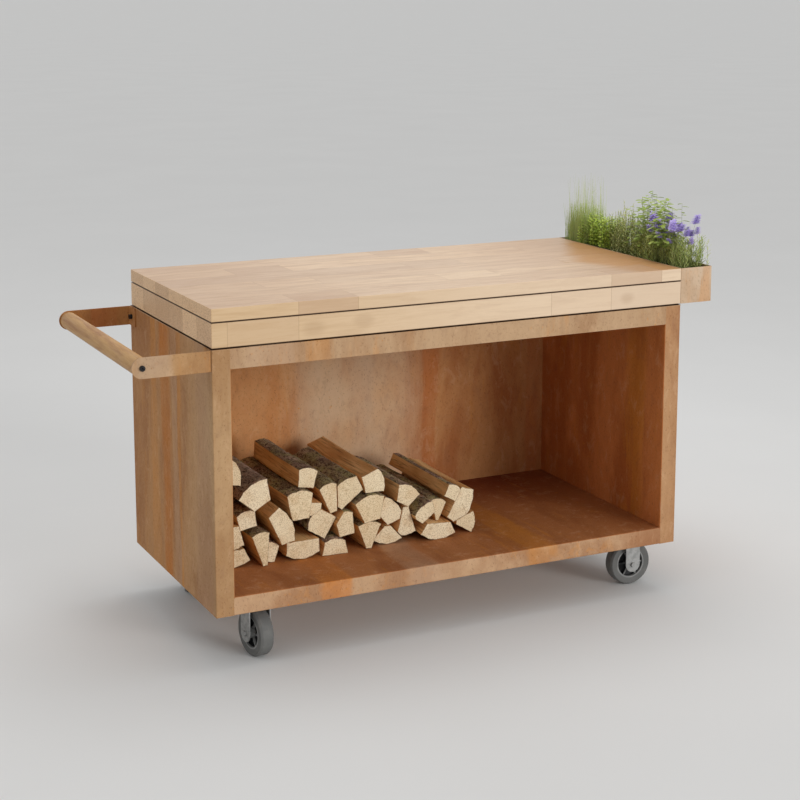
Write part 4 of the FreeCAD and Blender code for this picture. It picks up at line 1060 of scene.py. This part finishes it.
# %% [markdown]
# ## Plants
# Hundreds of blades and leaves can't be placed by hand. Geometry Nodes do it: one tree builds a single
# blade, scatters copies over a patch of soil, and turns, leans and scales each copy by chance with a fixed
# seed. A second tree builds a stem with leaves round it and scatters that. The sizes are inputs of the
# trees, so the same two trees make every plant in the trough. Each blade and leaf is a thin closed body,
# not a loose face.

# %% Helpers for Geometry Nodes
def new_plant_tree(name, sizes, finishes):
    """A tree with named inputs for its sizes and materials; returns the tree and its inputs' sockets."""
    tree = bpy.data.node_groups.new(name, "GeometryNodeTree")
    tree.interface.new_socket("Patch", in_out="INPUT", socket_type="NodeSocketGeometry")
    for label, value in sizes.items():
        kind = "NodeSocketInt" if isinstance(value, int) else "NodeSocketFloat"
        tree.interface.new_socket(label, in_out="INPUT", socket_type=kind).default_value = value
    for label in finishes:
        tree.interface.new_socket(label, in_out="INPUT", socket_type="NodeSocketMaterial")
    tree.interface.new_socket("Plants", in_out="OUTPUT", socket_type="NodeSocketGeometry")
    return tree, add("NodeGroupInput", tree=tree).outputs


def cone(tree, side_segments, top):
    """A three-sided cone, one metre high and of one metre radius below."""
    settings = {"Vertices": 3, "Side Segments": side_segments, "Radius Top": top, "Radius Bottom": 1.0,
                "Depth": 1.0}
    return add("GeometryNodeMeshCone", settings, tree).outputs["Mesh"]


def shaped(geometry, x, y, z):
    """Move every point of a small body to the given place."""
    settings = {"Geometry": geometry, "Position": vector_of(x, y, z)}
    return add("GeometryNodeSetPosition", settings).outputs[0]


def covered(geometry, finish):
    """Give a body its material."""
    return add("GeometryNodeSetMaterial", {"Geometry": geometry, "Material": finish}).outputs[0]


def copies_on(points, body, rotation, size):
    """Copies of a body on points, each turned and scaled."""
    settings = {"Points": points, "Instance": body, "Rotation": rotation, "Scale": size}
    return add("GeometryNodeInstanceOnPoints", settings).outputs[0]


def realized(copies):
    """Turn copies into one real mesh."""
    return add("GeometryNodeRealizeInstances", {"Geometry": copies}).outputs[0]


def chance(low, high, seed, number):
    """A random number for each copy."""
    settings = {2: low, 3: high, "Seed": plus(seed, number)}
    return add("FunctionNodeRandomValue", settings, data_type="FLOAT").outputs[1]


def scatter(body, inputs):
    """Copies of a body over the patch, leaning and turned by chance, with a random tone stored on each."""
    seed = inputs["Seed"]
    spread = {"Mesh": inputs["Patch"], "Density": inputs["Per Square Metre"], "Seed": seed}
    points = add("GeometryNodeDistributePointsOnFaces", spread).outputs["Points"]
    lean = chance(0.0, inputs["Lean"], seed, 1.0)
    turn = chance(0.0, 2 * math.pi, seed, 2.0)
    size = chance(inputs["Smallest"], 1.0, seed, 3.0)
    copies = copies_on(points, body, vector_of(lean, 0.0, turn), size)
    tone = {"Geometry": copies, "Name": "tone", "Value": chance(0.0, 1.0, seed, 4.0)}
    toned = add("GeometryNodeStoreNamedAttribute", tone, data_type="FLOAT", domain="INSTANCE")
    return realized(toned.outputs[0])


def grow(name, tree, patch_low, patch_high, settings):
    """Run a plant tree over a rectangle of soil and keep the result as a plain mesh."""
    patch_name = name + "_patch"
    patch = new_object(patch_name, rectangle(patch_name, patch_low, patch_high, soil_high.z - SOIL_RELIEF))
    modifier = patch.modifiers.new("plants", "NODES")
    modifier.node_group = tree
    for item in tree.interface.items_tree:
        if item.in_out == "INPUT" and item.name in settings:
            modifier[item.identifier] = settings[item.name]
    depsgraph = bpy.context.evaluated_depsgraph_get()
    grown = bpy.data.meshes.new_from_object(patch.evaluated_get(depsgraph), depsgraph=depsgraph)
    patch.modifiers.clear()
    bpy.data.objects.remove(patch)
    grown.name = name
    print(name, len(grown.polygons), "faces")
    return new_object(name, grown)


# %% [markdown]
# The blade starts as a three-sided cone one metre high. Its points are moved by a formula: the width
# shrinks towards the tip, and the tip bends over by the square of the height.

# %% The tree for blades of grass
BLADE_TIP = 0.15
BLADE_SEGMENTS = 5
BLADE_THICKNESS = 0.4


def blade_tree():
    """Grass: Patch in, scattered blades out."""
    sizes = {"Per Square Metre": 20000.0, "Blade Height": 0.15, "Blade Width": 0.0016, "Bend": 0.2,
             "Lean": 0.15, "Smallest": 0.5, "Seed": 1}
    tree, inputs = new_plant_tree("grass_blades", sizes, ("Blade Finish",))
    axes = axes_of(add("GeometryNodeInputPosition", tree=tree).outputs[0])
    height = times(axes["Z"], inputs["Blade Height"])
    sag = times(times(axes["Z"], height), inputs["Bend"])
    width = times(axes["X"], inputs["Blade Width"])
    thick = times(times(axes["Y"], inputs["Blade Width"]), BLADE_THICKNESS)
    blade = shaped(cone(tree, BLADE_SEGMENTS, BLADE_TIP), width, plus(thick, sag), height)
    grass = covered(scatter(blade, inputs), inputs["Blade Finish"])
    add("NodeGroupOutput", {0: grass})
    return tree


grass_blades = blade_tree()
print("grass_blades:", len(grass_blades.nodes), "nodes")

# %% [markdown]
# The leafy plant is a stem with leaves at equal steps, each turned by 137.5 degrees from the one below, as
# many real plants do. A leaf is a small ball pressed flat and drawn out between its poles. Petals are short
# leaves near the top of a bare stem, so the same tree also makes the flowers.

# %% The tree for leafy stems
GOLDEN_TURN = math.radians(137.5)
LEAF_DROOP = -0.25
LEAF_THICKNESS = 0.16
STEM_TIP = 0.3
STEM_SEGMENTS = 4


def build_leaf(inputs, axes):
    """A flattened ball from the stem outwards, whose tip droops."""
    ball = add("GeometryNodeMeshUVSphere", {"Segments": inputs["Leaf Sides"],
                                                  "Rings": inputs["Leaf Rings"], "Radius": 1.0})
    share = times(plus(axes["Z"], 1.0), 0.5)
    half_width = times(inputs["Leaf Width"], 0.5)
    droop = times(times(share, share), times(inputs["Leaf Length"], LEAF_DROOP))
    thick = times(times(axes["Y"], half_width), LEAF_THICKNESS)
    leaf = shaped(ball.outputs["Mesh"], times(axes["X"], half_width), plus(thick, droop),
                  times(share, inputs["Leaf Length"]))
    return covered(leaf, inputs["Leaf Finish"])


def build_leaves(tree, inputs, leaf):
    """Leaves along the stem, from the end of its bare share to the top."""
    line = add("GeometryNodeMeshLine", {"Count": inputs["Leaves"], "Offset": (0.0, 0.0, 0.0)})
    number = plus(add("GeometryNodeInputIndex", tree=tree).outputs[0], 1.0)
    step = calc("DIVIDE", number, inputs["Leaves"])
    leafy = minus(1.0, inputs["Bare Share"])
    rise = plus(inputs["Bare Share"], times(step, leafy))
    level = times(rise, inputs["Stem Height"])
    sway = times(times(rise, level), inputs["Bend"])
    joints = shaped(line.outputs["Mesh"], 0.0, sway, level)
    spin = vector_of(inputs["Leaf Angle"], 0.0, times(number, GOLDEN_TURN))
    shrink = minus(1.0, times(step, minus(1.0, inputs["Top Leaf Size"])))
    return realized(copies_on(joints, leaf, spin, shrink))


def build_stem(tree, inputs, axes):
    """The bent stem itself."""
    level = times(axes["Z"], inputs["Stem Height"])
    sway = times(times(axes["Z"], level), inputs["Bend"])
    x = times(axes["X"], inputs["Stem Radius"])
    y = plus(times(axes["Y"], inputs["Stem Radius"]), sway)
    stem = shaped(cone(tree, STEM_SEGMENTS, STEM_TIP), x, y, level)
    return covered(stem, inputs["Stem Finish"])


def stem_tree():
    """Leafy stems: Patch in, scattered stems with leaves out."""
    sizes = {"Per Square Metre": 5000.0, "Stem Height": 0.12, "Stem Radius": 0.0009, "Bend": 0.2, "Lean": 0.3,
             "Smallest": 0.6, "Leaves": 12, "Leaf Length": 0.012, "Leaf Width": 0.005, "Leaf Angle": 0.9,
             "Leaf Sides": 4, "Leaf Rings": 3, "Bare Share": 0.1, "Top Leaf Size": 0.5, "Seed": 1}
    tree, inputs = new_plant_tree("leafy_stems", sizes, ("Stem Finish", "Leaf Finish"))
    axes = axes_of(add("GeometryNodeInputPosition", tree=tree).outputs[0])
    joined = add("GeometryNodeJoinGeometry", tree=tree)
    tree.links.new(build_stem(tree, inputs, axes), joined.inputs[0])
    tree.links.new(build_leaves(tree, inputs, build_leaf(inputs, axes)), joined.inputs[0])
    add("NodeGroupOutput", {0: scatter(joined.outputs[0], inputs)})
    return tree


leafy_stems = stem_tree()
print("leafy_stems:", len(leafy_stems.nodes), "nodes")

# %% [markdown]
# Green is never one green. Each plant finish mixes two tones by the random number that the scattering
# stored on every copy, adds a fine mottle, and lets a little light through, as thin leaves do.

# %% Plant finishes
LEAF_MOTTLE = (240.0, 2.0)
TONE_SHARE = 0.75
MOTTLE_SHARE = 0.3


def leaf_finish(name, fresh, grey):
    """Leaf or petal with a tone of its own on every copy."""
    material, place = start_material(name)
    mottle = cloud(place, *LEAF_MOTTLE)
    share = plus(times(stored(material, "tone"), TONE_SHARE), times(mottle, MOTTLE_SHARE))
    return finished(material, blend(share, fresh, grey), mottle, (0.5, 0.65), Specular_IOR_Level=0.25,
                    Subsurface_Weight=0.15, Subsurface_Radius=(0.3, 0.5, 0.15), Subsurface_Scale=0.004)


grass_green = leaf_finish("grass_green", paint(200, 208, 132), paint(156, 174, 106))
bright_leaf = leaf_finish("bright_leaf", paint(200, 218, 96), paint(158, 184, 68))
thyme_leaf = leaf_finish("thyme_leaf", paint(226, 228, 158), paint(188, 194, 116))
broad_leaf = leaf_finish("broad_leaf", paint(190, 204, 108), paint(132, 154, 66))
spiky_leaf = leaf_finish("spiky_leaf", paint(210, 217, 142), paint(156, 172, 88))
purple_petal = leaf_finish("purple_petal", paint(212, 194, 246), paint(172, 150, 228))
green_stem = leaf_finish("green_stem", paint(126, 136, 78), paint(88, 96, 52))
print("finishes with those of the plants:", len(bpy.data.materials))

# %% [markdown]
# The trough is planted from back to front: tall grass, a bright leafy herb, a low grey green bush, broad
# leaves, purple flowers, and spiky foliage at the front. Each plant gets a stretch of the trough between
# two depths. The two tables below have a row for each plant: its name, the CAD piece that it replaces, its
# two depths, and the values of the tree's inputs in the order that the line above the table gives.

# %% Plant the trough
TROUGH_EDGE = 0.006
TROUGH_LEFT = soil_low.x + TROUGH_EDGE
TROUGH_RIGHT = soil_high.x - TROUGH_EDGE
TROUGH_FRONT = soil_low.y + TROUGH_EDGE
TROUGH_BACK = soil_high.y - TROUGH_EDGE


def plant(name, node, tree, start, end, settings):
    """Grow one plant between two shares of the trough's length, counted from the back."""
    length = TROUGH_BACK - TROUGH_FRONT
    low = (TROUGH_LEFT, TROUGH_BACK - end * length)
    high = (TROUGH_RIGHT, TROUGH_BACK - start * length)
    obj = grow(name, tree, low, high, {"Stem Finish": green_stem, **settings})
    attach(obj, "cabinet")
    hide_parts(node)


BLADE_INPUTS = ("Per Square Metre", "Blade Height", "Blade Width", "Bend", "Lean", "Smallest", "Seed",
                "Blade Finish")
BLADE_PLANTS = {
    ("short_grass", "plant_grass", 0.02, 0.20): (95000.0, 0.130, 0.0014, 0.15, 0.16, 0.45, 7, grass_green),
    ("tall_grass", "plant_grass", 0.04, 0.19): (15000.0, 0.215, 0.0011, 0.10, 0.13, 0.55, 11, grass_green)}
STEM_INPUTS = ("Per Square Metre", "Stem Height", "Bend", "Lean", "Smallest", "Leaves", "Leaf Length",
               "Leaf Width", "Leaf Angle", "Leaf Sides", "Leaf Rings", "Bare Share", "Top Leaf Size", "Seed",
               "Leaf Finish")
STEM_PLANTS = {
    ("bright_herb", "plant_leaves", 0.15, 0.39): (
        19000.0, 0.098, 0.3, 0.45, 0.55, 16, 0.012, 0.008, 1.0, 4, 3, 0.12, 0.7, 23, bright_leaf),
    ("low_bush", "plant_bush", 0.34, 0.70): (
        17000.0, 0.124, 0.25, 0.42, 0.6, 18, 0.0095, 0.0034, 0.8, 4, 3, 0.05, 0.6, 31, thyme_leaf),
    ("seed_stems", "plant_bush", 0.40, 0.55): (
        900.0, 0.175, 0.2, 0.2, 0.7, 22, 0.010, 0.004, 0.5, 4, 3, 0.5, 0.6, 37, thyme_leaf),
    ("broad_leaves", "plant_bush", 0.50, 0.90): (
        1500.0, 0.190, 0.25, 0.25, 0.6, 16, 0.034, 0.016, 1.4, 6, 5, 0.30, 0.6, 41, broad_leaf),
    ("spiky_foliage", "plant_flowers", 0.60, 0.99): (
        14000.0, 0.090, 0.2, 0.42, 0.5, 16, 0.022, 0.0026, 0.5, 4, 3, 0.05, 0.8, 53, spiky_leaf),
    ("purple_flowers", "plant_flowers", 0.68, 0.97): (
        2300.0, 0.150, 0.3, 0.5, 0.55, 40, 0.017, 0.009, 1.2, 4, 3, 0.84, 0.7, 67, purple_petal)}
for (name, node, start, end), values in BLADE_PLANTS.items():
    plant(name, node, grass_blades, start, end, dict(zip(BLADE_INPUTS, values)))
for (name, node, start, end), values in STEM_PLANTS.items():
    plant(name, node, leafy_stems, start, end, dict(zip(STEM_INPUTS, values)))
